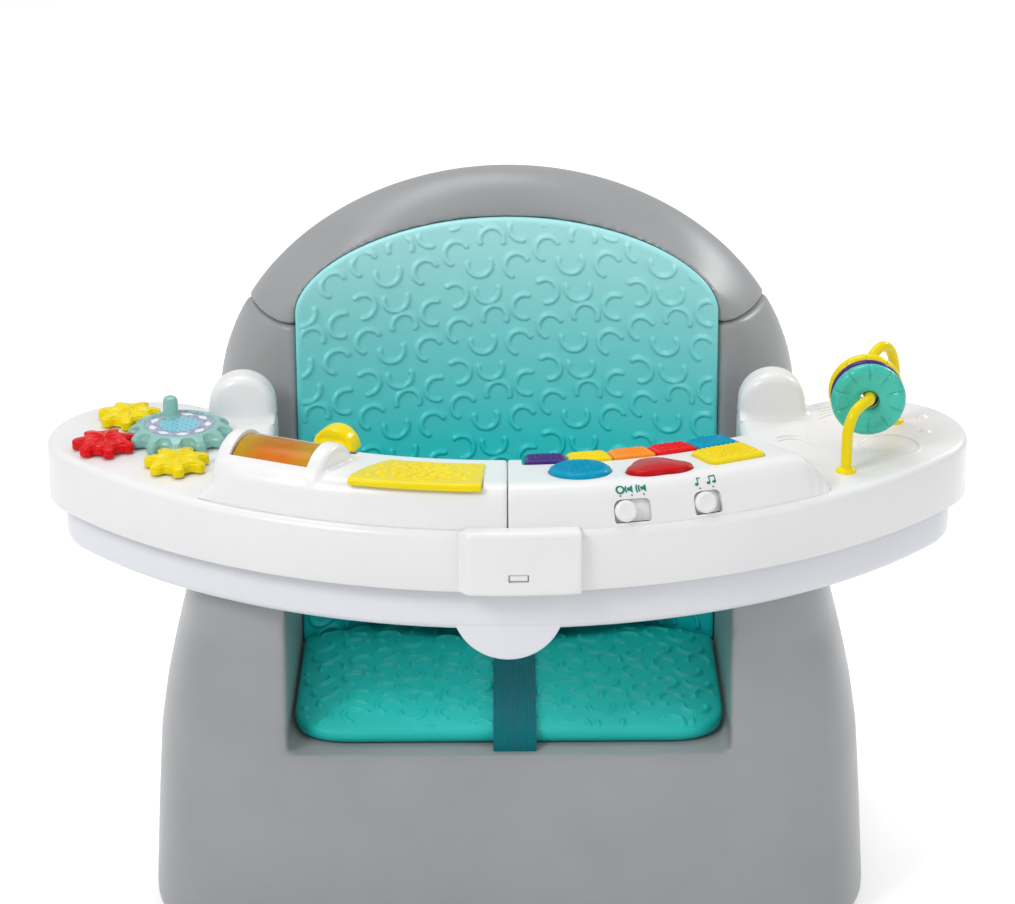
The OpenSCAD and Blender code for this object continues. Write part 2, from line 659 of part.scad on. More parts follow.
CELL_L = 50;
module batteries() {
    color(GREEN) for (k = [-1:1]) at(DOOR_AT[0] + k * (2 * CELL_R + 1), DOOR_AT[1], BOTTOM_Z[1] + GAP + CELL_R)
        rotate([0, 90, 0]) cylinder(r = CELL_R, h = CELL_L, center = true);
}
BOARD_Z = [-tray_wall - 1.6, -tray_wall];
module circuit_board() {
    color(GREEN) box_profile_slice(BOARD_DEG[0], BOARD_DEG[1], BOARD_R[0], BOARD_R[1], BOARD_Z[0], BOARD_Z[1]);
}
KEYPAD_TOP = -0.6;
module keypad_mat() {
    color(BLACK) box_profile_slice(KEYPAD_DEG[0], KEYPAD_DEG[1], KEYPAD_R[0], KEYPAD_R[1], BOARD_Z[1], KEYPAD_TOP);
}
module loudspeaker() {
    color(BLACK) at(SPEAKER_AT[0], SPEAKER_AT[1], BOTTOM_Z[1]) {
        cylinder(r = SPEAKER_R, h = 4);
        cylinder(r1 = SPEAKER_R - 1, r2 = 9, h = 13);
    }
}

// ---------------------------------------------------------------- consoles

IN_R = open_r + 0.6;
FOOT_OUT = 7.5;               // the front wall's foot is this far outside its upper edge
FRONT_TILT = atan2(FOOT_OUT, console_out_h - 0.8);
function face_z(r) = console_in_h + (r - IN_R) * (console_out_h - console_in_h) / (console_r - 2 - IN_R);
function front_r(z) = console_r + FOOT_OUT - z * FOOT_OUT / (console_out_h - 0.8);
FACE_TILT = atan2(console_out_h - console_in_h, console_r - 2 - IN_R);

CONSOLE_OUTER = [[IN_R, 0], [front_r(0), 0], [console_r, console_out_h - 0.8],
    [console_r - 2, console_out_h], [IN_R + 2, face_z(IN_R + 2)], [IN_R, console_in_h - 1.8]];
W = console_wall;
UNDER_TOP = console_out_h - W - 1.6;
CONSOLE_INNER = [[IN_R + W, -1], [front_r(-1) - W * 1.07, -1], [front_r(UNDER_TOP) - W * 1.07, UNDER_TOP],
    [console_r - 4, face_z(console_r - 4) - W], [IN_R + W, face_z(IN_R + W) - W]];
WALL_DEG = console_wall / 265 * 180 / PI;

module console_body(a, b) {
    difference() {
        ring_slice(a, b, CONSOLE_OUTER);
        ring_slice(a + WALL_DEG, b - WALL_DEG, CONSOLE_INNER);
    }
}
// Frame on the front wall: X along it, Y up it and Z out of it
module at_front(th, z) { at(front_r(z), th, z) rotate([90 - FRONT_TILT, 0, 0]) children(); }

DRUM_AT = [269, -24.4];
HUMP_R = drum_r + 2;
HUMP_LEN = drum_len + 16;
AXLE_R = 2;
module drum_frame() { at(DRUM_AT[0], DRUM_AT[1], drum_z) rotate([0, 90, 0]) children(); }
module drum_space(grow) { drum_frame() cylinder(r = drum_r + grow, h = drum_len + 2 * grow, center = true, $fn = 96); }

THUMB_AT = [238, -21.2];
STEM = [8, 4];
STEM_IN = 4.6;                // the stem's outer side lies this far outside the slider's radius
THUMB_Z = 15;

FLAP_DEG = [-15.3, -2.5];
FLAP_R = [console_r - 39, console_r + 2];
FLAP_AT = -9;
FLAP_SIDE_R = 62;
FLAP_SIDE = [console_r - 5, 31];
FLAP_PIN = [FLAP_R[0] + 2.8, face_z(FLAP_R[0]) - 4.16];
FLAP_PIN_R = 1.5;
FLAP_PIN_LEN = 71;
FLAP_WALL_TOP = console_out_h - 4.2;
module flap_side(grow) {
    at(FLAP_SIDE[0], FLAP_AT, -5) translate([FLAP_SIDE[1], 0, 0])
        cylinder(r = FLAP_SIDE_R + grow, h = 60, $fn = 128);
}

module left_console() {
    color(WHITE) difference() {
        union() {
            difference() {
                console_body(-31.5, -0.1);
                intersection() {
                    ring_slice(FLAP_DEG[0] - 0.2, FLAP_DEG[1] + 0.12,
                        [[FLAP_R[0] - 0.6, 5], [FLAP_R[1] - 5.5, 5], [FLAP_R[1] - 5.5, FLAP_WALL_TOP],
                        [FLAP_R[1] + 19, FLAP_WALL_TOP], [FLAP_R[1] + 19, 40], [FLAP_R[0] - 0.6, 40]]);
                    flap_side(0.6);
                }
            }
            intersection() {
                drum_frame() cylinder(r = HUMP_R, h = HUMP_LEN, center = true, $fn = 96);
                translate([0, 0, tray_z]) above(0);
            }
            for (s = [-1, 1]) at(FLAP_PIN[0], FLAP_AT, FLAP_PIN[1])
                translate([s * (FLAP_PIN_LEN / 2 - 1.2) - 1.2, -4, -3]) cube([2.4, 7, 6.2]);
        }
        drum_space(0.4);
        drum_frame() translate([-60, -17.2, -drum_len / 2 - 0.4]) cube([60, 34.4, drum_len + 0.8]);
        drum_frame() cylinder(r = AXLE_R + SLIP, h = HUMP_LEN - 6, center = true);
        at(FLAP_PIN[0], FLAP_AT, FLAP_PIN[1]) rotate([0, 90, 0])
            cylinder(r = FLAP_PIN_R + SLIP, h = FLAP_PIN_LEN + 1, center = true);
        at(THUMB_AT[0], THUMB_AT[1], 4) translate([-STEM[0] / 2 - thumb_travel - 0.5, -STEM_IN - GAP, 0])
            cube([STEM[0] + 2 * thumb_travel + 1, STEM[1] + 2 * GAP, 20]);
    }
}

KEY0_DEG = 1.9;
KEY_DEPTH = 19;
KEY_R = [open_r - 6, open_r - 6 + KEY_DEPTH];
KEY_Z0 = 7.6;
KEY_GAP_DEG = 0.07;
STEM_Z = KEYPAD_TOP + press + 0.4;              // lower ends of the key and button stems
ROUND_AT = [KEY_R[1] + 17, 7.7];
RED_AT = [KEY_R[1] + 23, 15.9];
SQUARE_AT = [KEY_R[1] + 18, 24.3];
SWITCH_Z = 6.9;
SLOT_H = 2 * knob_r + 0.8;
VOLUME = [11.9, 18.5];        // angle and width of the volume slot
TUNE = [19.4, 14.3];          // angle and width of the tune slot

module red_shape(grow) {
    hull() for (p = [[-11.5, -7], [11.5, -7], [0, 10]]) translate(p) circle(r = 4 + grow, $fn = 32);
}
module square_shape(grow) {
    hull() for (x = [-11.5, 11.5], y = [-9, 9]) translate([x, y]) circle(r = 3.5 + grow, $fn = 32);
}
module switch_slot(s) {
    at_front(s[0], SWITCH_Z) translate([-s[1] / 2, -SLOT_H / 2, -12]) cube([s[1], SLOT_H, 24]);
}
module right_console() {
    color(WHITE) difference() {
        console_body(0.1, console_end);
        box_profile_slice(KEY0_DEG - 0.25, KEY0_DEG + 5 * key_deg + 0.3, 225, KEY_R[1] + 0.5, 5, 40);
        at(ROUND_AT[0], ROUND_AT[1], 5) cylinder(r = round_r + GAP, h = 30);
        at(RED_AT[0], RED_AT[1], 5) linear_extrude(30) red_shape(GAP);
        at(SQUARE_AT[0], SQUARE_AT[1], 5) linear_extrude(30) square_shape(GAP);
        switch_slot(VOLUME);
        switch_slot(TUNE);
    }
}

// ---------------------------------------------------------------- gears

PRESSURE = 27;
ADDENDUM = 0.5 * gear_m;
DEDENDUM = 0.64 * gear_m;
BACKLASH = 0.5;
MESH = gear_m * (big_teeth + small_teeth) / 2;
BIG_AT = [241.3, -44.7];
BIG_XY = [BIG_AT[0] * sin(BIG_AT[1]), -BIG_AT[0] * cos(BIG_AT[1])];
GEAR_Z = 0.5;
// Each gear: place from the ring axis, teeth and turn
function small_gear(dir) = [BIG_XY + MESH * [cos(dir), sin(dir)], small_teeth,
    dir + 180 + 180 / small_teeth + dir * big_teeth / small_teeth];
BIG_GEAR = [BIG_XY, big_teeth, 0];
RED_GEAR = small_gear(199.5);
FRONT_GEAR = small_gear(273);
REAR_GEAR = small_gear(137.6);
GEARS = [BIG_GEAR, RED_GEAR, FRONT_GEAR, REAR_GEAR];

function involute(rb, r) = let (c = acos(min(1, rb / r))) tan(c) - c * PI / 180;
function half_tooth(t, r) = let (pitch = gear_m * t / 2, rb = pitch * cos(PRESSURE))
    90 / t - BACKLASH / 2 / pitch * 180 / PI
        + (involute(rb, pitch) - involute(rb, max(rb, r))) * 180 / PI;
function polar(r, a) = [r * cos(a), r * sin(a)];
function gear_outline(t) = let (pitch = gear_m * t / 2, tip = pitch + ADDENDUM, root = pitch - DEDENDUM,
    low = max(root, pitch * cos(PRESSURE)), rs = [for (k = [0:4]) mix(low, tip, k / 4)])
    [for (k = [0:t - 1]) let (a = 360 * k / t) each concat(
        [polar(root, a - half_tooth(t, low) - 1.2)],
        [for (r = rs) polar(r, a - half_tooth(t, r))],
        [for (j = [4:-1:0]) polar(rs[j], a + half_tooth(t, rs[j]))],
        [polar(root, a + half_tooth(t, low) + 1.2)])];

module gear_place(g) { translate([g[0][0], ring_y + g[0][1], tray_z]) rotate([0, 0, g[2]]) children(); }
module gear_solid(g, h, bore_h) {
    difference() {
        gear_place(g) translate([0, 0, GEAR_Z]) linear_extrude(h) polygon(gear_outline(g[1]));
        gear_place(g) translate([0, 0, -1]) cylinder(r = spindle_r + SLIP, h = bore_h + 1);
    }
}
STICKER_R = 18.3;
CRANK_XY = [-5.8, 12];
CRANK_R = 4;
CRANK_H = 10;
module crank_gear() {
    color(PALE_TEAL) union() {
        difference() {
            gear_solid(BIG_GEAR, big_gear_h, GEAR_Z + big_gear_h - 2.6);
            gear_place(BIG_GEAR) translate([0, 0, GEAR_Z + big_gear_h - 0.8]) cylinder(r = STICKER_R, h = 5);
        }
        gear_place(BIG_GEAR) translate([CRANK_XY[0], CRANK_XY[1], GEAR_Z + big_gear_h - 1.5])
            cylinder(r = CRANK_R, h = CRANK_H + 1.5);
    }
}
module gear_sticker() {
    color([0.62, 0.66, 0.76]) gear_place(BIG_GEAR) difference() {
        translate([0, 0, GEAR_Z + big_gear_h - 0.8]) cylinder(r = STICKER_R - 0.2, h = 0.6);
        translate([CRANK_XY[0], CRANK_XY[1], 0]) cylinder(r = CRANK_R + 0.2, h = 40);
    }
}
SMALL_BORE = small_gear_h - 1;
module red_gear() { color(RED) gear_solid(RED_GEAR, small_gear_h, SMALL_BORE); }
module front_yellow_gear() { color(YELLOW) gear_solid(FRONT_GEAR, small_gear_h, SMALL_BORE); }
module rear_yellow_gear() { color(YELLOW) gear_solid(REAR_GEAR, small_gear_h, SMALL_BORE); }
module gear_spindles() {
    color(WHITE) for (g = GEARS) gear_place(g) {
        translate([0, 0, -tray_wall - 1.5]) cylinder(r = spindle_r + 2.5, h = 1.5);
        translate([0, 0, -tray_wall - 0.5]) cylinder(r = spindle_r, h = tray_wall + 0.2 + SMALL_BORE);
    }
}

// ---------------------------------------------------------------- drum, slider and flap

DRUM_WALL = 2.5;
DRUM_END = 1.5;
module drum() {
    color(AMBER) drum_frame() difference() {
        cylinder(r = drum_r, h = drum_len, center = true, $fn = 96);
        cylinder(r = drum_r - DRUM_WALL, h = drum_len - 2 * DRUM_END, center = true, $fn = 96);
        cylinder(r = AXLE_R + SLIP, h = drum_len + 9, center = true);
    }
}
module drum_core() {
    color(ORANGE) drum_frame() difference() {
        cylinder(r = 10, h = drum_len - 2 * DRUM_END - 0.4, center = true);
        cylinder(r = AXLE_R + 0.3, h = drum_len, center = true);
    }
}
module drum_axle() { color(STEEL) drum_frame() cylinder(r = AXLE_R, h = HUMP_LEN - 7, center = true); }

THUMB_T = 11;
module thumb_slider() {
    color(YELLOW) at(THUMB_AT[0], THUMB_AT[1], 0) {
        intersection() {
            translate([0, 6.4, THUMB_Z]) rotate([90, 0, 0]) difference() {
                cylinder(r = thumb_r, h = THUMB_T);
                translate([0, thumb_r * 0.55, THUMB_T + 4]) rotate([0, 90, 0])
                    cylinder(r = 5.2, h = 60, center = true);
            }
            translate([-30, -30, THUMB_Z]) cube([60, 60, 40]);
        }
        translate([-STEM[0] / 2, -STEM_IN, 10.3]) cube([STEM[0], STEM[1], THUMB_Z - 9.8]);
        translate([-7, -7.2, 9]) cube([14, 6.8, 1.4]);
    }
}

module flap() {
    top = face_z(FLAP_R[1]) + 1.4;
    bend = FLAP_R[1] - 5;
    low = console_out_h - 7.2;
    profile = [[FLAP_R[0], face_z(FLAP_R[0]) - 1.8], [bend, face_z(bend) - 1.8],
        [front_r(low + 3.6) + 1.1, low + 4.8], [front_r(low) + 1.1, low - 0.2], [front_r(low) + 2.7, low],
        [front_r(console_out_h - 0.6) + 2.7, console_out_h - 0.1],
        [FLAP_R[1] - 1, top], [FLAP_R[0] + 1, face_z(FLAP_R[0]) + 1.4], [FLAP_R[0], face_z(FLAP_R[0]) + 0.6]];
    color(YELLOW) difference() {
        union() {
            intersection() {
                ring_slice(FLAP_DEG[0], FLAP_DEG[1], profile);
                flap_side(0);
            }
            at(FLAP_PIN[0], FLAP_AT, FLAP_PIN[1]) translate([-19, 0, 0]) {
                rotate([0, 90, 0]) cylinder(r = 2.8, h = 45);
                translate([0, -2.5, 0]) cube([45, 5, 3.2]);
            }
        }
        at(FLAP_PIN[0], FLAP_AT, FLAP_PIN[1]) rotate([0, 90, 0])
            cylinder(r = FLAP_PIN_R + SLIP, h = 90, center = true);
    }
}
module flap_pin() {
    color(STEEL) at(FLAP_PIN[0], FLAP_AT, FLAP_PIN[1]) rotate([0, 90, 0])
        cylinder(r = FLAP_PIN_R, h = FLAP_PIN_LEN, center = true);
}

// ---------------------------------------------------------------- keys, buttons and switches

KEY_FLANGE_Z = face_z(KEY_R[1]) - console_wall - GAP;
module key(k) {
    a = KEY0_DEG + k * key_deg + KEY_GAP_DEG;
    b = a + key_deg - 2 * KEY_GAP_DEG;
    r1 = KEY_R[1];
    top = face_z(r1) + key_up;
    ring_slice(a, b, [[KEY_R[0] + 2, KEY_Z0], [r1 - 1, KEY_Z0], [r1 - 1, KEY_FLANGE_Z - 1.4],
        [r1 + 1.6, KEY_FLANGE_Z - 1.4], [r1 + 1.6, KEY_FLANGE_Z], [r1, KEY_FLANGE_Z], [r1, top - 1],
        [r1 - 1, top], [KEY_R[0] + 5, top - 2.4], [KEY_R[0] + 2, top - 3.6], [KEY_R[0], top - 6],
        [KEY_R[0], KEY_Z0 + 1]]);
    at(r1 - 3.4, (a + b) / 2, STEM_Z) translate([-3, -3, 0]) cube([6, 6, KEY_Z0 - STEM_Z + 1]);
}
module purple_key() { color(PURPLE) key(0); }
module yellow_key() { color(YELLOW) key(1); }
module orange_key() { color(ORANGE) key(2); }
module red_key() { color(RED) key(3); }
module blue_key() { color(BLUE) key(4); }

FLANGE_T = 1.4;
// Flange under the console's face, and a stem down to the mat; the child is the cap's shape
module button(place, dome_r, rise) {
    z_face = face_z(place[0]);
    z_flange = face_z(place[0] - 17) - console_wall - GAP - FLANGE_T;
    at(place[0], place[1]) {
        intersection() {
            translate([0, 0, z_flange]) linear_extrude(z_face + 12 - z_flange) children(0);
            translate([0, 0, z_face]) rotate([FACE_TILT, 0, 0]) translate([0, 0, rise - dome_r])
                sphere(r = dome_r, $fn = 120);
        }
        translate([0, 0, z_flange]) linear_extrude(FLANGE_T) children(1);
        translate([0, 0, STEM_Z]) cylinder(r = 4, h = z_flange - STEM_Z + 1);
    }
}
module round_button() {
    color(BLUE) button(ROUND_AT, 52, 4) {
        circle(round_r);
        intersection() {
            circle(round_r + 1.3);
            translate([-20, -20]) square([40, 32]);
        }
    }
}
module red_button() { color(RED) button(RED_AT, 70, 3.6) { red_shape(0); red_shape(1.3); } }
module square_button() { color(YELLOW) button(SQUARE_AT, 90, 3.4) { square_shape(0); square_shape(1.3); } }

PLATE_Y = [-5.4, 6.2];         // the slider plate behind the wall reaches from here to here
module switch_knob(s, offset) {
    color(WHITE) at_front(s[0], SWITCH_Z) translate([offset, 0, 0]) {
        translate([0, 0, -console_wall - 1.5]) cylinder(r = knob_r, h = console_wall + 5.1);
        translate([-s[1] / 2 - 4, PLATE_Y[0], -console_wall - 1.9]) cube([s[1] + 8, PLATE_Y[1] - PLATE_Y[0], 1]);
    }
}
function slot_play(s) = s[1] / 2 - knob_r - GAP;
module volume_switch() { switch_knob(VOLUME, -slot_play(VOLUME)); }
module tune_switch() { switch_knob(TUNE, -slot_play(TUNE)); }

// ---------------------------------------------------------------- bead loop

WIRE_X = 183;
WIRE_Z = 33.5;
WIRE_FEET = [[170.7, -220.6], [203, -151]];
// Hand-set points of the bent wire, from the ring axis and the deck
WIRE = [[170.7, -220.6, -2.4], [170.7, -220.6, 12], [171.2, -220.2, 22], [174.2, -217.6, 30],
    [179, -212.8, 33.2], [WIRE_X, -207, WIRE_Z], [WIRE_X, -194, WIRE_Z], [WIRE_X, -181, WIRE_Z],
    [184.6, -174, 36.6], [188.4, -168.4, 43], [193.4, -163.8, 46.2], [198.4, -158.6, 42.6],
    [201.6, -153.8, 33], [203, -151, 18], [203, -151, -2.4]];
WIRE_STEPS = 3;
WIRE_PATH = refined(WIRE, WIRE_STEPS);
module tube(path, r, n) {
    skin([for (i = [0:len(path) - 1]) let (t = tangent(path, i), u = unit(cross(t, [1, 0, 0])), v = cross(t, u))
        [for (k = [0:n - 1]) path[i] + r * (cos(360 * k / n) * u + sin(360 * k / n) * v)]]);
}
module bead_wire() {
    color(YELLOW) translate([0, ring_y, tray_z]) {
        tube(WIRE_PATH, wire_r, 14);
        for (f = WIRE_FEET) translate([f[0], f[1], 0.02]) cylinder(r1 = 5.3, r2 = 4, h = 1.6);
    }
}
DISC_Z = WIRE_Z - (disc_bore_r - wire_r - GAP);
module disc(y, t, r) {
    translate([WIRE_X, ring_y + y - t / 2, tray_z + DISC_Z]) rotate([-90, 0, 0]) difference() {
        rotate_extrude($fn = 96) polygon([[disc_bore_r, t * 0.15], [disc_bore_r + 2, 0.02], [r - 2, 0.02],
            [r - 0.5, t * 0.15], [r, t * 0.35], [r, t * 0.65], [r - 0.5, t * 0.85], [r - 2, t - 0.02],
            [disc_bore_r + 2, t - 0.02], [disc_bore_r, t * 0.85]]);
        for (k = [0:9]) rotate([0, 0, 36 * k]) translate([r * 0.55, -0.4, -1]) cube([r * 0.6, 0.8, 1.6]);
    }
}
// Each disc: middle behind the ring axis, and thickness
TEAL_DISC = [-202, 7.4];
PURPLE_DISC = [-194.9, 6];
YELLOW_DISC = [-187.5, 8];
module teal_disc() { color(TEAL) disc(TEAL_DISC[0], TEAL_DISC[1], disc_r); }
module purple_disc() { color(PURPLE) disc(PURPLE_DISC[0], PURPLE_DISC[1], disc_r - 0.4); }
module yellow_disc() { color(YELLOW) disc(YELLOW_DISC[0], YELLOW_DISC[1], disc_r); }

// ---------------------------------------------------------------- drawing

seat_shell();
backrest_arch();
back_pad();
seat_pad();
base_plate();
foot_pads();
base_screws();
crotch_strap();
waist_strap_left();
waist_strap_right();
buckle();
snack_tray();
toy_tray_shell();
left_console();
right_console();
latch_cover();
latch_button();
tray_bottom();
tray_screws();
battery_door();
batteries();
circuit_board();
keypad_mat();
loudspeaker();
crank_gear();
gear_sticker();
red_gear();
front_yellow_gear();
rear_yellow_gear();
gear_spindles();
drum();
drum_core();
drum_axle();
thumb_slider();
flap();
flap_pin();
purple_key();
yellow_key();
orange_key();
red_key();
blue_key();
round_button();
red_button();
square_button();
volume_switch();
tune_switch();
bead_wire();
teal_disc();
purple_disc();
yellow_disc();
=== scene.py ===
from math import acos, asin, atan2, ceil, copysign, cos, degrees, exp, hypot, pi, radians, sin, sqrt, tan

import bmesh
import bpy
import numpy as np
from mathutils import Matrix, Vector, kdtree


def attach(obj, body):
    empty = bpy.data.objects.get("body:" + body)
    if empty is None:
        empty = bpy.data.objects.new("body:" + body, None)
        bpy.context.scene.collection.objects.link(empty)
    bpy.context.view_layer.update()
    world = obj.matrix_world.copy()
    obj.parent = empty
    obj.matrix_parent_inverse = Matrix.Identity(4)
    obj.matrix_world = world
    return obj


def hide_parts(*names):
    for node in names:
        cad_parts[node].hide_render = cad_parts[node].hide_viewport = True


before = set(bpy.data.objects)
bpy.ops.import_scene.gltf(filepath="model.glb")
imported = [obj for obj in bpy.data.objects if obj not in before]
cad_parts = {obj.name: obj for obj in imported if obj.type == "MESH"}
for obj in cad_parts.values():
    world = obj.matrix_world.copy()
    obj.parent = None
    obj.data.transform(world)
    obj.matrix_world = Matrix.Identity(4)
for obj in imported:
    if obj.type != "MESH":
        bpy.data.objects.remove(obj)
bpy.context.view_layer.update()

# ---------------------------------------------------------------- sizes
# In millimetres, the same as in the part's source. X is right, Y back and Z up; the trays and
# toys are placed about the ring axis: at(r, th, z).

MM = 0.001
BACK_HALF_W, ARCH_RISE, ARCH_Z, SEAM_Z = 158, 127.7, 230, 288
BACK_Y, BACK_THICK, LEAN, BUCKET_R = 79, 45, 0.08, 213
SIL_Y, RIM_POWER, REAR_POWER, PLAN_POWER, BACK_LOW_Z, BACK_MID_Z = 22, 1.65, 2.4, 5, 100, 230
SIDE_SLOPE = 0.05
PAD_HALF_W, PAD_ARCH_Z, PAD_ARCH_RISE, PAD_RECESS, PAD_CROWN, PAD_LIP = 112.5, 294.7, 43, 6, 6, 2
SEAM_GAP = 0.3
ARM_HALF_W, ARM_TOP_Z, ARM_FRONT_Y, WELL_HALF_W, PAN_Z = 166.5, 189.7, -88, 112.5, 108
SKIRT_OUT, FOOT_H, BODY_BACK_Y, SHELL_WALL = 23, 2.5, 131.5, 3
SEAT_PAD_T, SEAT_PAD_EDGE, SEAT_PAD_FRONT = 13, 7, -86
RING_Y, TRAY_Z = 166, 245
TRAY_R, TRAY_HALF_W, LOBE_R, OPEN_R, OPEN_HALF_W = 300, 240, 50, 235, 122
SHOULDER_BACK, SHOULDER_TOP, SHOULDER_DEPTH = -126, 24, 20
SHOULDER_X = (122.2, 157.5)
BAND_H, TRAY_WALL = 31, 2.4
SNACK_H, SNACK_INSET = 24.6, 8
IN_R, CONSOLE_R, CONSOLE_IN_H, CONSOLE_OUT_H, FOOT_OUT = 235.6, 289, 13.6, 20.6, 7.5
CONSOLE_WALL = 2.2
GEAR_M, PRESSURE, BACKLASH = 4.2, 27, 0.5
DRUM_AT, DRUM_Z, DRUM_R, DRUM_LEN, CORE_R = (269, -24.4), 7, 20, 43, 11.5
WIRE_R, DISC_R, DISC_BORE_R, WIRE_Z, WIRE_X = 2.8, 19, 5, 33.5, 183


def turned(angle, axis="X"):
    return Matrix.Rotation(radians(angle), 4, axis)


def moved(x, y, z):
    return Matrix.Translation((x, y, z))


def at(r, th, z=0.0):
    """Matrix of a place on the trays: X along the ring, -Y outwards and Z up, in millimetres."""
    return moved(0, RING_Y, TRAY_Z + z) @ turned(th, "Z") @ moved(0, -r, 0)


def ring_point(r, th, z):
    a = radians(th)
    return (r * sin(a), RING_Y - r * cos(a), TRAY_Z + z)


def drum_matrix():
    return at(*DRUM_AT, DRUM_Z) @ turned(90, "Y")


def mix(a, b, t):
    return a + (b - a) * t


def clamp(v):
    return max(0.0, min(1.0, v))


def steps(a, b, n):
    return [mix(a, b, k / (n - 1)) for k in range(n)]


# ---------------------------------------------------------------- outlines in two dimensions

def arc(middle, r, a, b, n):
    """n points of an arc from angle a to b, in degrees."""
    turns = np.radians(np.linspace(a, b, n))
    return np.stack([middle[0] + r * np.cos(turns), middle[1] + r * np.sin(turns)], 1)


def circle(r, n=96, middle=(0, 0)):
    return arc(middle, r, 0, 360 * (1 - 1 / n), n)


def bend(a, p, b, n):
    """n points of a curve from a to b that leans towards p."""
    return [a * (1 - t) ** 2 + p * 2 * t * (1 - t) + b * t * t for t in steps(0, 1, n)]


def rounded(corners, n=8):
    """Closed outline through corners (x, y, reach); each corner's curve starts reach before it."""
    out = []
    for i, (x, y, reach) in enumerate(corners):
        p = np.array((x, y), float)
        before = np.array(corners[i - 1][:2], float) - p
        after = np.array(corners[(i + 1) % len(corners)][:2], float) - p
        a = p + before / np.linalg.norm(before) * reach
        b = p + after / np.linalg.norm(after) * reach
        out += bend(a, p, b, n) if reach else [p]
    return np.array(out)


def rectangle(half_w, half_h, reach, n=8):
    corners = [(-half_w, -half_h), (half_w, -half_h), (half_w, half_h), (-half_w, half_h)]
    return rounded([(x, y, reach) for x, y in corners], n)


def run_along(points):
    """Distance of each point of an open line from its start."""
    return np.concatenate([[0], np.cumsum(np.linalg.norm(np.diff(points, axis=0), axis=1))])


def point_at(run, runs, points):
    """The point, or points, at a distance along a line."""
    return np.stack([np.interp(run, runs, points[:, k]) for k in (0, 1)], -1)


def spaced(points, n):
    """n points at equal steps along an open line."""
    runs = run_along(points)
    return point_at(np.linspace(0, runs[-1], n), runs, points)


def even(outline, n):
    """n points at equal steps along a closed outline."""
    return spaced(np.vstack([outline, outline[:1]]), n + 1)[:-1]


def normals(outline):
    along = np.roll(outline, -1, 0) - np.roll(outline, 1, 0)
    along /= np.maximum(np.linalg.norm(along, axis=1), 1e-9)[:, None]
    return np.stack([along[:, 1], -along[:, 0]], 1)


def grown(outline, d):
    """An anticlockwise outline moved outwards by d."""
    return outline + normals(outline) * d


def anticlockwise(outline):
    x, y = outline.T
    area = np.sum(x * np.roll(y, -1) - y * np.roll(x, -1))
    return outline if area > 0 else outline[::-1]


def smoothed(outline, rounds):
    for _ in range(rounds):
        outline = (np.roll(outline, 1, 0) + 2 * outline + np.roll(outline, -1, 0)) / 4
    return outline


# ---------------------------------------------------------------- meshes

def loft(rings, ends="fan"):
    """Points and faces of a skin over equal closed rings, closed by a fan or one face at each end."""
    n = len(rings[0])
    points = [tuple(p) for ring in rings for p in ring]
    faces = []
    for j in range(len(rings) - 1):
        for i in range(n):
            k = (i + 1) % n
            faces.append((j * n + i, j * n + k, (j + 1) * n + k, (j + 1) * n + i))
    last = (len(rings) - 1) * n
    if ends == "face":
        faces.append(tuple(range(n)))
        faces.append(tuple(range(last, last + n)))
    if ends == "fan":
        for start, ring in ((0, rings[0]), (last, rings[-1])):
            points.append(tuple(sum(p[k] for p in ring) / n for k in range(3)))
            hub = len(points) - 1
            faces.extend((hub, start + i, start + (i + 1) % n) for i in range(n))
    return points, faces


def new_object(name, data):
    obj = bpy.data.objects.new(name, data)
    bpy.context.scene.collection.objects.link(obj)
    return obj


def opened(mesh):
    work = bmesh.new()
    work.from_mesh(mesh)
    return work


def written(work, mesh):
    """The mesh with a bmesh's form, its normals outwards."""
    bmesh.ops.recalc_face_normals(work, faces=work.faces)
    work.to_mesh(mesh)
    work.free()
    return mesh


def raw(name, *parts):
    """Object of (points, faces) parts in millimetres."""
    mesh = bpy.data.meshes.new(name)
    points, faces = [], []
    for part_points, part_faces in parts:
        base = len(points)
        points.extend((p[0] * MM, p[1] * MM, p[2] * MM) for p in part_points)
        faces.extend(tuple(base + i for i in f) for f in part_faces)
    mesh.from_pydata(points, [], faces)
    work = opened(mesh)
    bmesh.ops.remove_doubles(work, verts=work.verts, dist=1e-7)
    return new_object(name, written(work, mesh))


def bake(obj):
    """Turns the object's modifiers into its mesh."""
    graph = bpy.context.evaluated_depsgraph_get()
    mesh = bpy.data.meshes.new_from_object(obj.evaluated_get(graph))
    obj.modifiers.clear()
    obj.data = mesh
    return obj


def cut(obj, *forms):
    """Takes closed (points, faces) forms out of an object."""
    for form in forms:
        cutter = raw("cutter", form)
        modifier = obj.modifiers.new("cut", "BOOLEAN")
        modifier.operation = "DIFFERENCE"
        modifier.solver = "EXACT"
        modifier.object = cutter
        bake(obj)
        bpy.data.objects.remove(cutter)
    return obj


def soften(obj, voxel, rounds):
    """Joins overlapping closed parts into one skin and rounds its edges."""
    remesh = obj.modifiers.new("join", "REMESH")
    remesh.mode = "VOXEL"
    remesh.voxel_size = voxel * MM
    smooth = obj.modifiers.new("round", "SMOOTH")
    smooth.factor = 0.5
    smooth.iterations = rounds
    return bake(obj)


def dress(obj, body, look, stands_for, sharp=40):
    """Gives a finished mesh its material, smooth shading and body."""
    material, slot_name = LOOKS[look]
    obj.data.materials.clear()
    obj.data.materials.append(material)
    obj.data.shade_smooth()
    if sharp:
        obj.data.set_sharp_from_angle(angle=radians(sharp))
    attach(obj, body)
    if stands_for:
        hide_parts(*stands_for)
    return obj


def piece(name, parts, body, look, stands_for=(), sharp=40):
    return dress(raw(name, *parts), body, look, stands_for, sharp)


def local(matrix):
    """place(u, v, h) in a matrix's own axes."""
    return lambda u, v, h: matrix @ Vector((u, v, h))


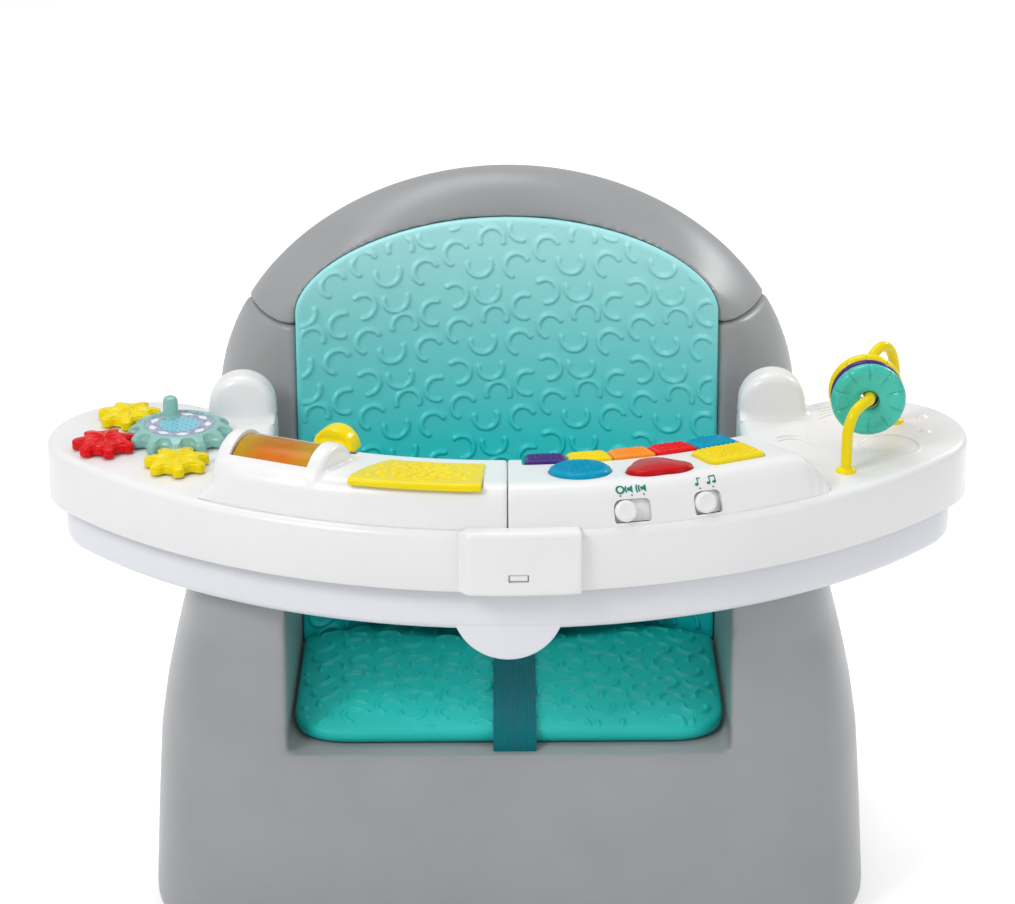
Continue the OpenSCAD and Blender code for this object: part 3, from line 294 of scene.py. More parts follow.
def pillow(outline, side, place, top=None, rings=14):
    """Closed form over a star-shaped outline. side lists (inset, height) from the underside up to
    the top's edge; top(u, v, s) adds height inside it, where s falls from 1 at the edge to 0."""
    base = np.array(outline, float)
    levels = [[place(u, v, h) for u, v in grown(base, -inset)] for inset, h in side]
    edge = grown(base, -side[-1][0])
    height = side[-1][1]
    middle = edge.mean(0)
    for k in range(1, rings):
        s = 1 - k / rings
        loop = middle + (edge - middle) * s
        levels.append([place(u, v, height + (top(u, v, s) if top else 0)) for u, v in loop])
    return loft(levels)


def crowned(rise, bumps=None):
    """A pillow's top that swells by rise, with bumps on it or without."""
    return lambda u, v, s: rise * (1 - s * s) + (bumps(u, v, s) if bumps else 0)


def prism(outline, low, high, matrix):
    return pillow(outline, [(0, low), (0, high)], local(matrix), None, 3)


def quarter(r, inset, z, n, side=1):
    """Quarter round of radius r from a wall at inset to a flat at z: a top, or with side -1 an
    underside."""
    turns = [radians(a) for a in steps(0, 90, n)]
    return [(inset + r * (1 - cos(a)), z - side * r * (1 - sin(a))) for a in turns]


def round_edge(r, low, high, n=5):
    """Side of a plate from low to high with edges of radius r above and below."""
    return quarter(r, 0, low, n, -1)[::-1] + quarter(r, 0, high, n)


def rod(r, length, matrix, n=96, edge=0.0):
    """Round bar about a matrix's Z, centred on it, with rounded rims."""
    side = round_edge(edge, -length / 2, length / 2) if edge else [(0, -length / 2), (0, length / 2)]
    return pillow(circle(r, n), side, local(matrix), None, 3)


def block(x, y, z, matrix):
    """Box over ranges x, y and z in a matrix's own axes."""
    plan = [(x[0], y[0]), (x[1], y[0]), (x[1], y[1]), (x[0], y[1])]
    return loft([[matrix @ Vector((u, v, h)) for u, v in plan] for h in z], "face")


def sweep(profile, a, b, ends=(0, 0)):
    """Closed (r, z) profile swept about the ring axis; ends gives the angles over which its
    height falls away at a and at b."""
    rings = []
    for th in steps(a, b, max(2, ceil(b - a)) + 1):
        share = 1.0
        for far, length in ((th - a, ends[0]), (b - th, ends[1])):
            if length and far < length:
                share = min(share, max(0.03, 1 - (1 - far / length) ** 2))
        rings.append([ring_point(r, th, z * share) for r, z in profile])
    return loft(rings)


def lathe(profile, matrix, n=96, wave=None):
    """Closed (r, z) profile turned about a matrix's Z; wave(angle, r, z) shifts a point's z."""
    rings = []
    for k in range(n):
        a = 2 * pi * k / n
        rings.append([matrix @ Vector((r * cos(a), r * sin(a), z + (wave(a, r, z) if wave else 0)))
                      for r, z in profile])
    points, faces = loft(rings, "open")
    m = len(profile)
    base = (n - 1) * m
    faces.extend((base + i, base + (i + 1) % m, (i + 1) % m, i) for i in range(m))
    return points, faces


def spline(points, n):
    """Smooth path through points, with n steps a stretch."""
    p = [Vector(q) for q in points]
    out = []
    for i in range(len(p) - 1):
        a, b, c, d = p[max(i - 1, 0)], p[i], p[i + 1], p[min(i + 2, len(p) - 1)]
        for k in range(n):
            t = k / n
            out.append(0.5 * (2 * b + (c - a) * t + (2 * a - 5 * b + 4 * c - d) * t ** 2
                              + (3 * b - a - 3 * c + d) * t ** 3))
    return out + [p[-1]]


def heading(path, i):
    return (path[min(i + 1, len(path) - 1)] - path[max(i - 1, 0)]).normalized()


def tube(path, radius, n):
    """Round tube along a path; radius is a number, or a function of the share of the path."""
    rings = []
    side = None
    for i, p in enumerate(path):
        along = heading(path, i)
        start = side if side else along.cross(Vector((1, 0, 0.01)))
        side = (start - along * start.dot(along)).normalized()
        other = along.cross(side)
        r = radius(i / (len(path) - 1)) if callable(radius) else radius
        rings.append([p + (side * cos(a) + other * sin(a)) * r for a in (2 * pi * k / n for k in range(n))])
    return loft(rings)


# ---------------------------------------------------------------- materials

def shader_of(name):
    material = bpy.data.materials.new(name)
    material.use_nodes = True
    return material, material.node_tree, material.node_tree.nodes["Principled BSDF"]


def feed(tree, node, sockets):
    """Sets a node's sockets to values, or links them to other nodes' outputs."""
    for key, value in sockets.items():
        if isinstance(value, bpy.types.NodeSocket):
            tree.links.new(value, node.inputs[key])
        else:
            node.inputs[key].default_value = value


def add(tree, kind, sockets, **settings):
    """Outputs of a new node."""
    node = tree.nodes.new("ShaderNode" + kind)
    for key, value in settings.items():
        setattr(node, key, value)
    feed(tree, node, sockets)
    return node.outputs


def calc(tree, operation, *values):
    return add(tree, "Math", dict(enumerate(values)), operation=operation)["Value"]


def where(tree):
    """The object's own coordinates."""
    return add(tree, "TexCoord", {})["Object"]


def noise(tree, scale, detail=3.0):
    """Noise over the object's own coordinates; scale is in features a metre."""
    return add(tree, "TexNoise", {"Vector": where(tree), "Scale": scale, "Detail": detail})["Fac"]


def ramp(tree, value, low, high, start=0.35, end=0.65):
    """Colours from low to high as value goes from start to end."""
    node = tree.nodes.new("ShaderNodeValToRGB")
    for element, position, colour in zip(node.color_ramp.elements, (start, end), (low, high)):
        element.position = position
        element.color = (*colour, 1)
    feed(tree, node, {"Fac": value})
    return node.outputs["Color"]


def spread(tree, value, low, high, start=0.0, end=1.0):
    """Numbers from low to high as value goes from start to end."""
    return add(tree, "MapRange", {"Value": value, "From Min": start, "From Max": end,
                                  "To Min": low, "To Max": high})["Result"]


def bump(tree, height, depth):
    """Bump of depth metres from a height between 0 and 1."""
    return add(tree, "Bump", {"Height": height, "Distance": depth, "Strength": 1.0})["Normal"]


def linear(code):
    """Linear colour of a six-digit sRGB code."""
    values = [int(code[i:i + 2], 16) / 255 for i in (0, 2, 4)]
    return tuple(v / 12.92 if v <= 0.04045 else ((v + 0.055) / 1.055) ** 2.4 for v in values)


def shade(colour, share):
    return tuple(min(1.0, c * share) for c in colour)


def plastic(name, code, rough, grain=900.0, depth=0.00003, vary=0.05, coat=0.0, inside=0.0, gloss=0.35):
    """Moulded plastic: a slightly uneven colour and gloss, and a fine grain."""
    material, tree, shader = shader_of(name)
    colour = linear(code)
    feed(tree, shader, {
        "Base Color": ramp(tree, noise(tree, 22.0), shade(colour, 1 - vary), shade(colour, 1 + vary / 2)),
        "Roughness": spread(tree, noise(tree, 60.0), rough - 0.05, rough + 0.06),
        "Normal": bump(tree, noise(tree, grain, 2.0), depth),
        "Specular IOR Level": gloss, "Coat Weight": coat, "Coat Roughness": 0.12})
    if inside:
        feed(tree, shader, {"Subsurface Weight": inside, "Subsurface Radius": (0.004, 0.004, 0.004),
                            "Subsurface Scale": 0.5})
    return material


def metal(name, code, rough):
    material, tree, shader = shader_of(name)
    colour = linear(code)
    feed(tree, shader, {
        "Base Color": ramp(tree, noise(tree, 160.0), shade(colour, 0.85), colour),
        "Roughness": spread(tree, noise(tree, 700.0), rough - 0.08, rough + 0.12),
        "Normal": bump(tree, noise(tree, 1600.0), 0.00002), "Metallic": 1.0})
    return material


def webbing(name, code):
    """Woven strap: a fine cross weave over the ribs that the mesh has."""
    material, tree, shader = shader_of(name)
    colour = linear(code)
    weave = add(tree, "TexWave", {"Vector": where(tree), "Scale": 330.0, "Distortion": 0.6, "Detail": 1.0},
                wave_type="BANDS", bands_direction="X")["Fac"]
    feed(tree, shader, {
        "Base Color": ramp(tree, weave, shade(colour, 0.62), shade(colour, 1.15), 0.2, 0.8),
        "Roughness": 0.85, "Sheen Weight": 0.1, "Specular IOR Level": 0.2,
        "Normal": bump(tree, weave, 0.0003)})
    return material


# In metres: heights between which the foam's painted sheen rises, distances from the drum's middle between
# which its amber goes from orange to yellow, and the radii of the sticker's ring of ovals and of its centre
PAINTED_SHEEN_Z, AMBER_X, OVALS_R, CENTRE_R = (0.215, 0.345), (0.007, 0.018), 0.0145, 0.0105


def pad_foam(name, low, high, rough):
    """Foam skin, paler towards the top: a painted sheen where the top catches the light."""
    material, tree, shader = shader_of(name)
    z = add(tree, "SeparateXYZ", {"Vector": where(tree)})["Z"]
    feed(tree, shader, {
        "Base Color": ramp(tree, spread(tree, z, 0.0, 1.0, *PAINTED_SHEEN_Z), linear(low), linear(high), 0.0, 1.0),
        "Roughness": spread(tree, noise(tree, 90.0), rough, rough + 0.12),
        "Normal": bump(tree, noise(tree, 1300.0, 2.0), 0.00005)})
    return material


def tinted(name):
    """Clear amber plastic, more orange along the middle of the drum's length."""
    material, tree, shader = shader_of(name)
    drum = drum_matrix()
    away = add(tree, "VectorMath", {0: where(tree), 1: drum.translation * MM}, operation="SUBTRACT")
    along = add(tree, "VectorMath", {0: away["Vector"], 1: drum.to_3x3() @ Vector((0, 0, 1))},
                operation="DOT_PRODUCT")
    share = spread(tree, calc(tree, "ABSOLUTE", along["Value"]), 0.0, 1.0, *AMBER_X)
    feed(tree, shader, {
        "Base Color": ramp(tree, share, linear("F8A236"), linear("F4C83C"), 0.0, 1.0),
        "Roughness": spread(tree, noise(tree, 90.0), 0.16, 0.26),
        "Transmission Weight": 0.55, "IOR": 1.2,
        "Normal": bump(tree, noise(tree, 500.0), 0.00003)})
    return material


def sticker(name, middle):
    """Printed disc: a dotted centre, a lilac rim and a ring of plain ovals."""
    material, tree, shader = shader_of(name)
    shift = add(tree, "Mapping", {"Vector": where(tree), "Location": [-c for c in middle]})
    apart = add(tree, "SeparateXYZ", {"Vector": shift["Vector"]})
    x, y = apart["X"], apart["Y"]

    def times(a, b):
        return calc(tree, "MULTIPLY", a, b)

    def over(fac, below, code):
        return add(tree, "Mix", {"Factor": fac, "A": below, "B": (*linear(code), 1)},
                   data_type="RGBA")["Result"]

    r = calc(tree, "SQRT", calc(tree, "ADD", times(x, x), times(y, y)))
    around = calc(tree, "COSINE", times(calc(tree, "ARCTAN2", y, x), 9.0))
    rim = calc(tree, "ABSOLUTE", calc(tree, "SUBTRACT", r, OVALS_R))
    ovals = calc(tree, "LESS_THAN", calc(tree, "ADD", times(rim, 620.0), times(around, -0.7)), 0.45)
    centre = calc(tree, "LESS_THAN", r, CENTRE_R)
    waves = [calc(tree, "SINE", times(way, 1300.0)) for way in (x, y)]
    dots = calc(tree, "GREATER_THAN", times(*waves), 0.86)
    paint = ramp(tree, noise(tree, 420.0), linear("8E97B4"), linear("A8AFC4"), 0.45, 0.55)
    for fac, code in ((ovals, "E6EAF0"), (centre, "7FC4D6"), (times(centre, dots), "3B6C8C")):
        paint = over(fac, paint, code)
    feed(tree, shader, {"Base Color": paint, "Roughness": 0.25,
                        "Normal": bump(tree, noise(tree, 1200.0), 0.00001)})
    return material


# Middle of the crank gear's sticker, in metres
STICKER_PLACE = (-0.1697, -0.0055, 0.2545)
# Each look's material, and the slot that it goes to
LOOKS = {
    "grey": (plastic("grey_shell", "989A9C", 0.33, 1500.0, 0.00004, 0.04, 0.0, 0.0, 0.45), "grey_shell"),
    # The teal foam's paler top colour, B0E8EA, is a painted sheen over its own 08C8CA
    "teal": (pad_foam("teal_foam", "08C8CA", "B0E8EA", 0.3), "teal_foam"),
    "deep_teal": (pad_foam("seat_foam", "00BAB2", "00BAB2", 0.5), "teal_foam"),
    "rubber": (plastic("rubber", "242426", 0.75, 1200.0, 0.00008), "rubber"),
    "steel": (metal("steel", "C4C6CA", 0.35), "steel"),
    "webbing": (webbing("webbing", "00747E"), "webbing"),
    "black": (plastic("black_plastic", "26272A", 0.45, 1100.0, 0.00006), "black_plastic"),
    "white": (plastic("white_plastic", "EAEAEB", 0.3, 420.0, 0.00002, 0.015, 0.2), "white_plastic"),
    "cool_white": (plastic("snack_white", "E0E2E8", 0.33, 420.0, 0.00002, 0.015, 0.15), "white_plastic"),
    "pale_teal": (plastic("pale_teal", "8CC0B8", 0.3, 700.0, 0.00003, 0.05, 0.2), "pale_teal"),
    "sticker": (sticker("sticker", STICKER_PLACE), "sticker"),
    "red": (plastic("red", "DE0812", 0.2, 600.0, 0.00003, 0.06, 0.0, 0.05, 0.22), "red"),
    "ruby": (plastic("ruby", "BE1014", 0.13, 600.0, 0.00002, 0.06, 0.0, 0.0, 0.14), "red"),
    "yellow": (plastic("yellow", "F0D800", 0.18, 600.0, 0.00003, 0.05, 0.0, 0.05, 0.25), "yellow"),
    "amber": (tinted("amber"), "amber"),
    "orange": (plastic("orange", "F89628", 0.15, 600.0, 0.00002, 0.06, 0.0, 0.05, 0.25), "orange"),
    "core": (plastic("core_orange", "E02C14", 0.4, 500.0, 0.00004), "orange"),
    "purple": (plastic("purple", "42287A", 0.15, 600.0, 0.00002, 0.06, 0.0, 0.0, 0.25), "purple"),
    "blue": (plastic("blue", "0098BC", 0.13, 600.0, 0.00002, 0.06, 0.0, 0.0, 0.12), "blue"),
    "teal_toy": (plastic("teal_toy", "3CBCAA", 0.26, 600.0, 0.00003, 0.05, 0.25), "teal_toy"),
    "cell": (plastic("cell", "2C6B45", 0.3), "cell"),
    "board": (plastic("board", "1E6B3A", 0.45), "board"),
    "print": (plastic("icon_green", "00806C", 0.5, 800.0, 0.00001), "white_plastic"),
}

# ---------------------------------------------------------------- backrest and seat body

def front_y(x, z):
    return BACK_Y + LEAN * (z - SEAM_Z) - x * x / (2 * BUCKET_R)


def silhouette_y(z):
    return BACK_Y + SIL_Y + LEAN * (z - SEAM_Z)


def rear_y(x, z):
    return BACK_Y + BACK_THICK + LEAN * (z - SEAM_Z) - (BACK_THICK - SIL_Y) * (x / BACK_HALF_W) ** 2


def arch_loop(w, z0, rise, low, slope):
    """Loop over the arch, down the right side, along the bottom and up the left side."""
    low_w = w + (z0 - low) * slope
    loop = [(w * cos(t), z0 + rise * sin(t)) for t in steps(pi, 0, 97)]
    corners = [(w, z0), (low_w, low), (-low_w, low), (-w, z0)]
    for a, b in zip(corners, corners[1:]):
        loop += [(mix(a[0], b[0], t), mix(a[1], b[1], t)) for t in steps(0, 1, 41)[1:]]
    return loop[:-1]


def outer_loop():
    return arch_loop(BACK_HALF_W, ARCH_Z, ARCH_RISE, BACK_LOW_Z, SIDE_SLOPE)


def pad_loop():
    return arch_loop(PAD_HALF_W, PAD_ARCH_Z, PAD_ARCH_RISE, BACK_LOW_Z, 0)


def rim_curve(u, p):
    return 1 - (1 - u ** p) ** (1 / p)


def shell_ring(u, rear):
    """Ring between the pad's edge, at u 0, and the silhouette, at u 1."""
    ring = []
    for o, p in zip(outer_loop(), pad_loop()):
        x, z = mix(p[0], o[0], u), mix(p[1], o[1], u)
        start = rear_y(x, z) if rear else front_y(p[0], p[1])
        power = REAR_POWER if rear else RIM_POWER
        ring.append((x, mix(start, silhouette_y(z), rim_curve(u, power)), z))
    return ring


def inner_ring(s, rear):
    ring = []
    for px, pz in pad_loop():
        x, z = px * s, BACK_MID_Z + (pz - BACK_MID_Z) * s
        ring.append((x, rear_y(x, z) if rear else front_y(x, z) + PAD_RECESS, z))
    return ring


def back_slab():
    shares = steps(0.05, 0.95, 12)
    rims = [sin(pi / 2 * t) for t in steps(0, 1, 22)]
    return loft([inner_ring(s, False) for s in shares] + [inner_ring(0.985, False)]
                + [shell_ring(u, False) for u in rims]
                + [shell_ring(u, True) for u in reversed(rims[:-1])]
                + [inner_ring(s, True) for s in reversed(shares)])


def halved(obj, z, keep_above):
    """Keeps one side of a level cut and closes it."""
    work = opened(obj.data)
    bmesh.ops.bisect_plane(work, geom=work.verts[:] + work.edges[:] + work.faces[:],
                           plane_co=(0, 0, z * MM), plane_no=(0, 0, 1),
                           clear_inner=keep_above, clear_outer=not keep_above)
    bmesh.ops.edgenet_fill(work, edges=[e for e in work.edges if e.is_boundary])
    written(work, obj.data)
    return obj


def joined(first, *others):
    """One object that holds the meshes of several."""
    work = bmesh.new()
    for obj in (first, *others):
        work.from_mesh(obj.data)
    work.to_mesh(first.data)
    work.free()
    for obj in others:
        bpy.data.objects.remove(obj)
    return first


def signed_power(v, p):
    return copysign(abs(v) ** p, v)


def plan_ring(w, y0, y1, z):
    """Level ring of the body: a rectangle with well rounded corners."""
    ring = []
    for t in np.linspace(0, 2 * pi, 144, endpoint=False):
        x = w * signed_power(cos(t), 2 / PLAN_POWER)
        y = (y0 + y1) / 2 + (y1 - y0) / 2 * signed_power(sin(t), 2 / PLAN_POWER)
        ring.append((x, y, z))
    return ring


# Heights, and the share of the skirt that the body carries at each
BODY_Z = (0, 6, 55, 97, 122, 141, 151, 160, 170, 183)
BODY_SHARE = (0.96, 1, 0.87, 0.74, 0.57, 0.38, 0.26, 0.14, 0.07, 0)
ARM_ROUND = 5


def body_ring(z, inset):
    skirt = SKIRT_OUT * float(np.interp(z, BODY_Z, BODY_SHARE))
    return plan_ring(ARM_HALF_W + skirt - inset, ARM_FRONT_Y - 0.8 * skirt + inset,
                     BODY_BACK_Y + 0.35 * skirt - inset, z)


def seat_body():
    rings = [body_ring(FOOT_H, 2.5), body_ring(FOOT_H + 2, 0)]
    rings += [body_ring(z, 0) for z in steps(8, ARM_TOP_Z - ARM_ROUND - 1, 34)]
    return loft(rings + [body_ring(z, inset) for inset, z in quarter(ARM_ROUND, 0, ARM_TOP_Z, 7)])


def well():
    """The space between the arms, down to the seat pan; its back follows the bucket."""
    back = [(x, front_y(x, ARM_TOP_Z) + PAD_RECESS + SHELL_WALL)
            for x in steps(WELL_HALF_W, -WELL_HALF_W, 17)]
    plan = [(-WELL_HALF_W, -220), (WELL_HALF_W, -220)] + back
    return loft([[(x, y, z) for x, y in plan] for z in (PAN_Z, ARM_TOP_Z + 80)], "face")


def make_shell():
    body = cut(raw("shell_skin", seat_body()), well())
    slab = halved(raw("slab", back_slab()), SEAM_Z - SEAM_GAP / 2, False)
    dress(soften(joined(body, slab), 2.0, 5), "seat", "grey", ["seat_shell"], 0)
    arch = halved(raw("arch_skin", back_slab()), SEAM_Z + SEAM_GAP / 2, True)
    dress(soften(arch, 1.6, 2), "seat", "grey", ["backrest_arch"], 0)


# ---------------------------------------------------------------- pads

ARC_R, ARC_HALF_W, ARC_RISE = 6.4, 1.4, 1.45
# The arcs repeat in a cell: its two sides, and each arc's place, middle direction and half span
CELL = ((48.7, 2.0), (1.5, -42.3))
CELL_ARCS = ((0, 0, 139, 108), (16.4, 9.1, 139, 106), (28.7, 2.7, -84, 104), (36.9, -26.3, 90, 106),
             (15.4, -13.9, 20, 108), (32.8, -11.8, -85, 102), (4.1, -22.5, 176, 104))


def noodles(u0, u1, v0, v1):
    """Places, turns and half spans of the raised arcs."""
    arcs = []
    (side_u, side_v), (up_u, up_v) = CELL
    for i in range(-9, 10):
        for j in range(-9, 10):
            for u, v, turn, half in CELL_ARCS:
                u, v = u + i * side_u + j * up_u + 7, v + i * side_v + j * up_v + 270
                if u0 < u < u1 and v0 < v < v1:
                    arcs.append((u, v, radians(turn), radians(half)))
    return arcs


def relief(points, arcs):
    """Height of the raised arcs at each of the (u, v) points."""
    height = np.zeros(len(points))
    for u, v, turn, half in arcs:
        near = np.where((abs(points[:, 0] - u) < 10) & (abs(points[:, 1] - v) < 10))[0]
        if not len(near):
            continue
        away = points[near] - (u, v)
        angle = (np.arctan2(away[:, 1], away[:, 0]) - turn + pi) % (2 * pi) - pi
        on = np.clip(angle, -half, half) + turn
        nearest = np.stack([np.cos(on), np.sin(on)], 1) * ARC_R
        far = np.linalg.norm(away - nearest, axis=1) / ARC_HALF_W
        height[near] = np.maximum(height[near], ARC_RISE * np.clip(1 - far ** 2, 0, 1) ** 0.55)
    return height


def pad_sheet(outline, pitch, place, crown, rim, arcs):
    """Pad with raised arcs: a fine grid inside the outline, whose edge is drawn down by rim, a
    list of (inset, height) steps. crown holds the height at the edge, the rise within it and the
    distance of that rise. place(u, v, h) puts the pad in the row frame."""
    dense = even(outline, 5000)
    inward = -normals(dense)
    tree = kdtree.KDTree(len(dense))
    for i, p in enumerate(dense):
        tree.insert((*p, 0), i)
    tree.balance()
    us, vs = (np.arange(low, high + pitch, pitch) for low, high in zip(dense.min(0), dense.max(0)))
    grid = np.stack(np.meshgrid(us, vs, indexing="ij"), -1).reshape(-1, 2)
    nearest = [tree.find((*p, 0))[1] for p in grid]
    depth = np.einsum("ij,ij->i", grid - dense[nearest], inward[nearest])
    inside = depth > rim[0][0]
    kept, deep = grid[inside], depth[inside]
    number = np.full(len(grid), -1)
    number[inside] = np.arange(len(kept))
    number = number.reshape(len(us), len(vs))
    quads = np.stack([number[:-1, :-1], number[1:, :-1], number[1:, 1:], number[:-1, 1:]], -1).reshape(-1, 4)
    edge, rise, reach = crown
    fade = np.clip((deep - rim[0][0] - 0.4) / 1.4, 0, 1)
    height = edge + rise * (1 - np.exp(-deep / reach)) + relief(kept, arcs) * fade
    work = bmesh.new()
    verts = [work.verts.new((u, v, h)) for (u, v), h in zip(kept, height)]
    for quad in quads[quads.min(1) >= 0]:
        work.faces.new([verts[k] for k in quad])
    bmesh.ops.delete(work, geom=[v for v in work.verts if not v.link_faces], context="VERTS")
    for k, (inset, level) in enumerate(rim):
        edges = [e for e in work.edges if e.is_boundary]
        ring = {v for e in edges for v in e.verts}
        if k:
            made = bmesh.ops.extrude_edge_only(work, edges=edges)["geom"]
            ring = [g for g in made if isinstance(g, bmesh.types.BMVert)]
        for v in ring:
            i = tree.find((v.co.x, v.co.y, 0))[1]
            v.co = (*(dense[i] + inward[i] * inset), level)
    bmesh.ops.remove_doubles(work, verts=work.verts, dist=0.2)
    for v in work.verts:
        v.co = Vector(place(*v.co)) * MM
    return work


def pad_object(name, work, look, stands_for):
    obj = new_object(name, written(work, bpy.data.meshes.new(name)))
    dress(obj, "seat", look, stands_for, 0)
    return obj


def make_back_pad():
    outline = arch_loop(PAD_HALF_W - 0.35, PAD_ARCH_Z, PAD_ARCH_RISE - 0.35, PAN_Z + 1.5, 0)[::-1]
    arcs = noodles(-PAD_HALF_W, PAD_HALF_W, PAN_Z, PAD_ARCH_Z + PAD_ARCH_RISE + 10)
    rim = [(2.2, PAD_LIP + 1.05), (1.2, PAD_LIP + 0.75), (0.5, PAD_LIP), (0.05, PAD_LIP - 1.2),
           (0.3, -1.5), (1.4, -PAD_RECESS + 1)]
    work = pad_sheet(outline, 0.62, lambda u, v, h: (u, front_y(u, v) - h, v),
                     (PAD_LIP + 0.9, PAD_CROWN - PAD_LIP - 1.6, 30), rim, arcs)
    pad_object("back_cover", work, "teal", ["back_pad"])


def seat_pad_outline():
    """Round corners in front; the rear edge follows the bucket nearly into its corners."""
    half_w = WELL_HALF_W - 1.5
    back = [(x, front_y(x, PAN_Z + SEAT_PAD_EDGE) - PAD_CROWN - 1) for x in steps(half_w, -half_w, 41)]
    corners = [(-half_w, SEAT_PAD_FRONT, 30), (half_w, SEAT_PAD_FRONT, 30), (*back[0], 4)]
    return rounded([*corners, *[(x, y, 0) for x, y in back[1:-1]], (*back[-1], 4)], 16)


def make_seat_pad():
    arcs = noodles(-WELL_HALF_W, WELL_HALF_W, SEAT_PAD_FRONT, 90)
    rim = [(2.4, SEAT_PAD_EDGE + 0.6), (1.1, SEAT_PAD_EDGE), (0.3, SEAT_PAD_EDGE - 1.2),
           (0, SEAT_PAD_EDGE * 0.5), (0.6, 1.5), (2.6, 0.1)]
    work = pad_sheet(seat_pad_outline(), 0.85, lambda u, v, h: (u, v, PAN_Z + 0.3 + h),
                     (SEAT_PAD_EDGE, SEAT_PAD_T - SEAT_PAD_EDGE - 1.6, 14), rim, arcs)
    pad_object("seat_cover", work, "deep_teal", ["seat_pad"])


# ---------------------------------------------------------------- harness

STRAP_W, STRAP_T = 22, 2
CROTCH_X, CROTCH_Y = 3, -93
PAD_TOP = PAN_Z + 0.3 + SEAT_PAD_T
STRAP_Z = PAD_TOP + 0.5 + STRAP_T / 2
BUCKLE = (40, 32, 9)
BUCKLE_Y, BUCKLE_Z = 13, PAD_TOP + 0.4
RIB = 1.7


def strap(points, wides):
    """Flat webbing along a path, with ribs across it; wides gives the direction of its width."""
    path, ways = spline(points, 16), spline(wides, 16)
    section = rectangle(STRAP_W / 2, STRAP_T / 2, 0.7, 4)
    rings = []
    run = 0.0
    for i, p in enumerate(path):
        along = heading(path, i)
        wide = (ways[i] - along * ways[i].dot(along)).normalized()
        up = wide.cross(along)
        run += (p - path[max(i - 1, 0)]).length
        rib = 1 - 0.16 * (0.5 - 0.5 * cos(2 * pi * run / RIB))
        rings.append([p + wide * u + up * v * rib for u, v in section])
    return loft(rings)


def crotch_path():
    way = [(CROTCH_Y, PAN_Z - 9), (CROTCH_Y, PAN_Z + 2), (-91.5, PAN_Z + 6.5), (-88, PAN_Z + 9.8),
           (-80, PAN_Z + 12.2), (-66, PAN_Z + 13.8), (-50, PAN_Z + 14.5), (-30, STRAP_Z),
           (BUCKLE_Y - 0.3, STRAP_Z)]
    return [(CROTCH_X, y, z) for y, z in way]


def waist_path(side):
    end_x = CROTCH_X + side * (BUCKLE[0] / 2 + 0.3)
    way = [(89, 48, 143), (74, 40.3, 138), (56, 36, 132.5), (38, 31.5, 128.4)]
    end = (end_x, BUCKLE_Y + BUCKLE[1] / 2, BUCKLE_Z + BUCKLE[2] / 2)
    return [(side * x, y, z) for x, y, z in way] + [end]


def make_harness():
    straps = [("crotch_webbing", crotch_path(), [(1, 0, 0)] * 9, "crotch_strap")]
    for side, name in ((-1, "left"), (1, "right")):
        wides = [mix(Vector((-side * 0.12, 0.5, 1)), Vector((0, 1, 0.1)), t).normalized()
                 for t in (0, 0.3, 0.6, 0.85, 1)]
        straps.append((f"waist_webbing_{name}", waist_path(side), wides, f"waist_strap_{name}"))
    for name, points, wides, node in straps:
        piece(name, [strap(points, wides)], "seat", "webbing", [node], 60)
    middle = moved(CROTCH_X, BUCKLE_Y + BUCKLE[1] / 2, BUCKLE_Z)
    outline = even(rectangle(BUCKLE[0] / 2, BUCKLE[1] / 2, 7), 160)
    top = BUCKLE[2]
    case = raw("buckle_case", pillow(outline, round_edge(1.8, 0, top - 1), local(middle), crowned(0.6)))
    button = even(rounded([(-9, -11, 4), (9, -11, 4), (9, 6, 8), (-9, 6, 8)]), 96)
    dress(cut(case, prism(grown(button, 0.7), top - 2.6, top + 4, middle)), "seat", "black", ["buckle"])
    cap = pillow(button, [(0, top - 3), (0, top - 1.3), (0.9, top - 0.7)], local(middle), crowned(0.5))
    piece("buckle_button", [cap], "seat", "red")


# ---------------------------------------------------------------- trays

LOBE_X = TRAY_HALF_W - LOBE_R
LOBE_Y = -sqrt((TRAY_R - LOBE_R) ** 2 - LOBE_X ** 2)
LOBE_DEG = degrees(atan2(LOBE_X, -LOBE_Y))


def line(a, b, n):
    return np.stack([np.linspace(a[0], b[0], n), np.linspace(a[1], b[1], n)], 1)


def crescent(inset):
    """Anticlockwise outline of the activity tray about the ring axis, moved inwards by inset."""
    lobe_r, back_y = LOBE_R - inset, SHOULDER_BACK - inset
    side_x, open_r = OPEN_HALF_W + inset, OPEN_R + inset
    rise = degrees(asin((back_y - LOBE_Y) / lobe_r))
    open_y = -sqrt(open_r ** 2 - side_x ** 2)
    open_deg = degrees(atan2(side_x, -open_y))
    lobe_end = LOBE_X - lobe_r * cos(radians(rise))
    front = arc((0, 0), TRAY_R - inset, -90, LOBE_DEG - 90, 300)
    lobe = arc((LOBE_X, LOBE_Y), lobe_r, LOBE_DEG - 90, 180 - rise, 240)[1:]
    runs = [np.vstack([front, lobe]), line((lobe_end, back_y), (side_x, back_y), 120),
            line((side_x, back_y), (side_x, open_y), 240), arc((0, 0), open_r, open_deg - 90, -90, 300)]
    half = []
    for i, (reach, count) in enumerate(((9, 190), (max(0.6, 5 - inset), 16), (14 + inset, 50))):
        corner = runs[i + 1][0]
        before, after = (run[np.linalg.norm(run - corner, axis=1) > reach] for run in runs[i:i + 2])
        runs[i + 1] = after
        half += [spaced(before, count), bend(before[-1], corner, after[0], 10)[1:-1]]
    right = np.vstack([*half, spaced(runs[3], 70)])
    return np.vstack([right, right[::-1][1:-1] * (-1, 1)])


def plate_rings(levels):
    """Rings of the crescent: (inset, height above the deck) each."""
    return [[(x, y + RING_Y, TRAY_Z + z) for x, y in crescent(inset)] for inset, z in levels]


FLARE_H = 14.0


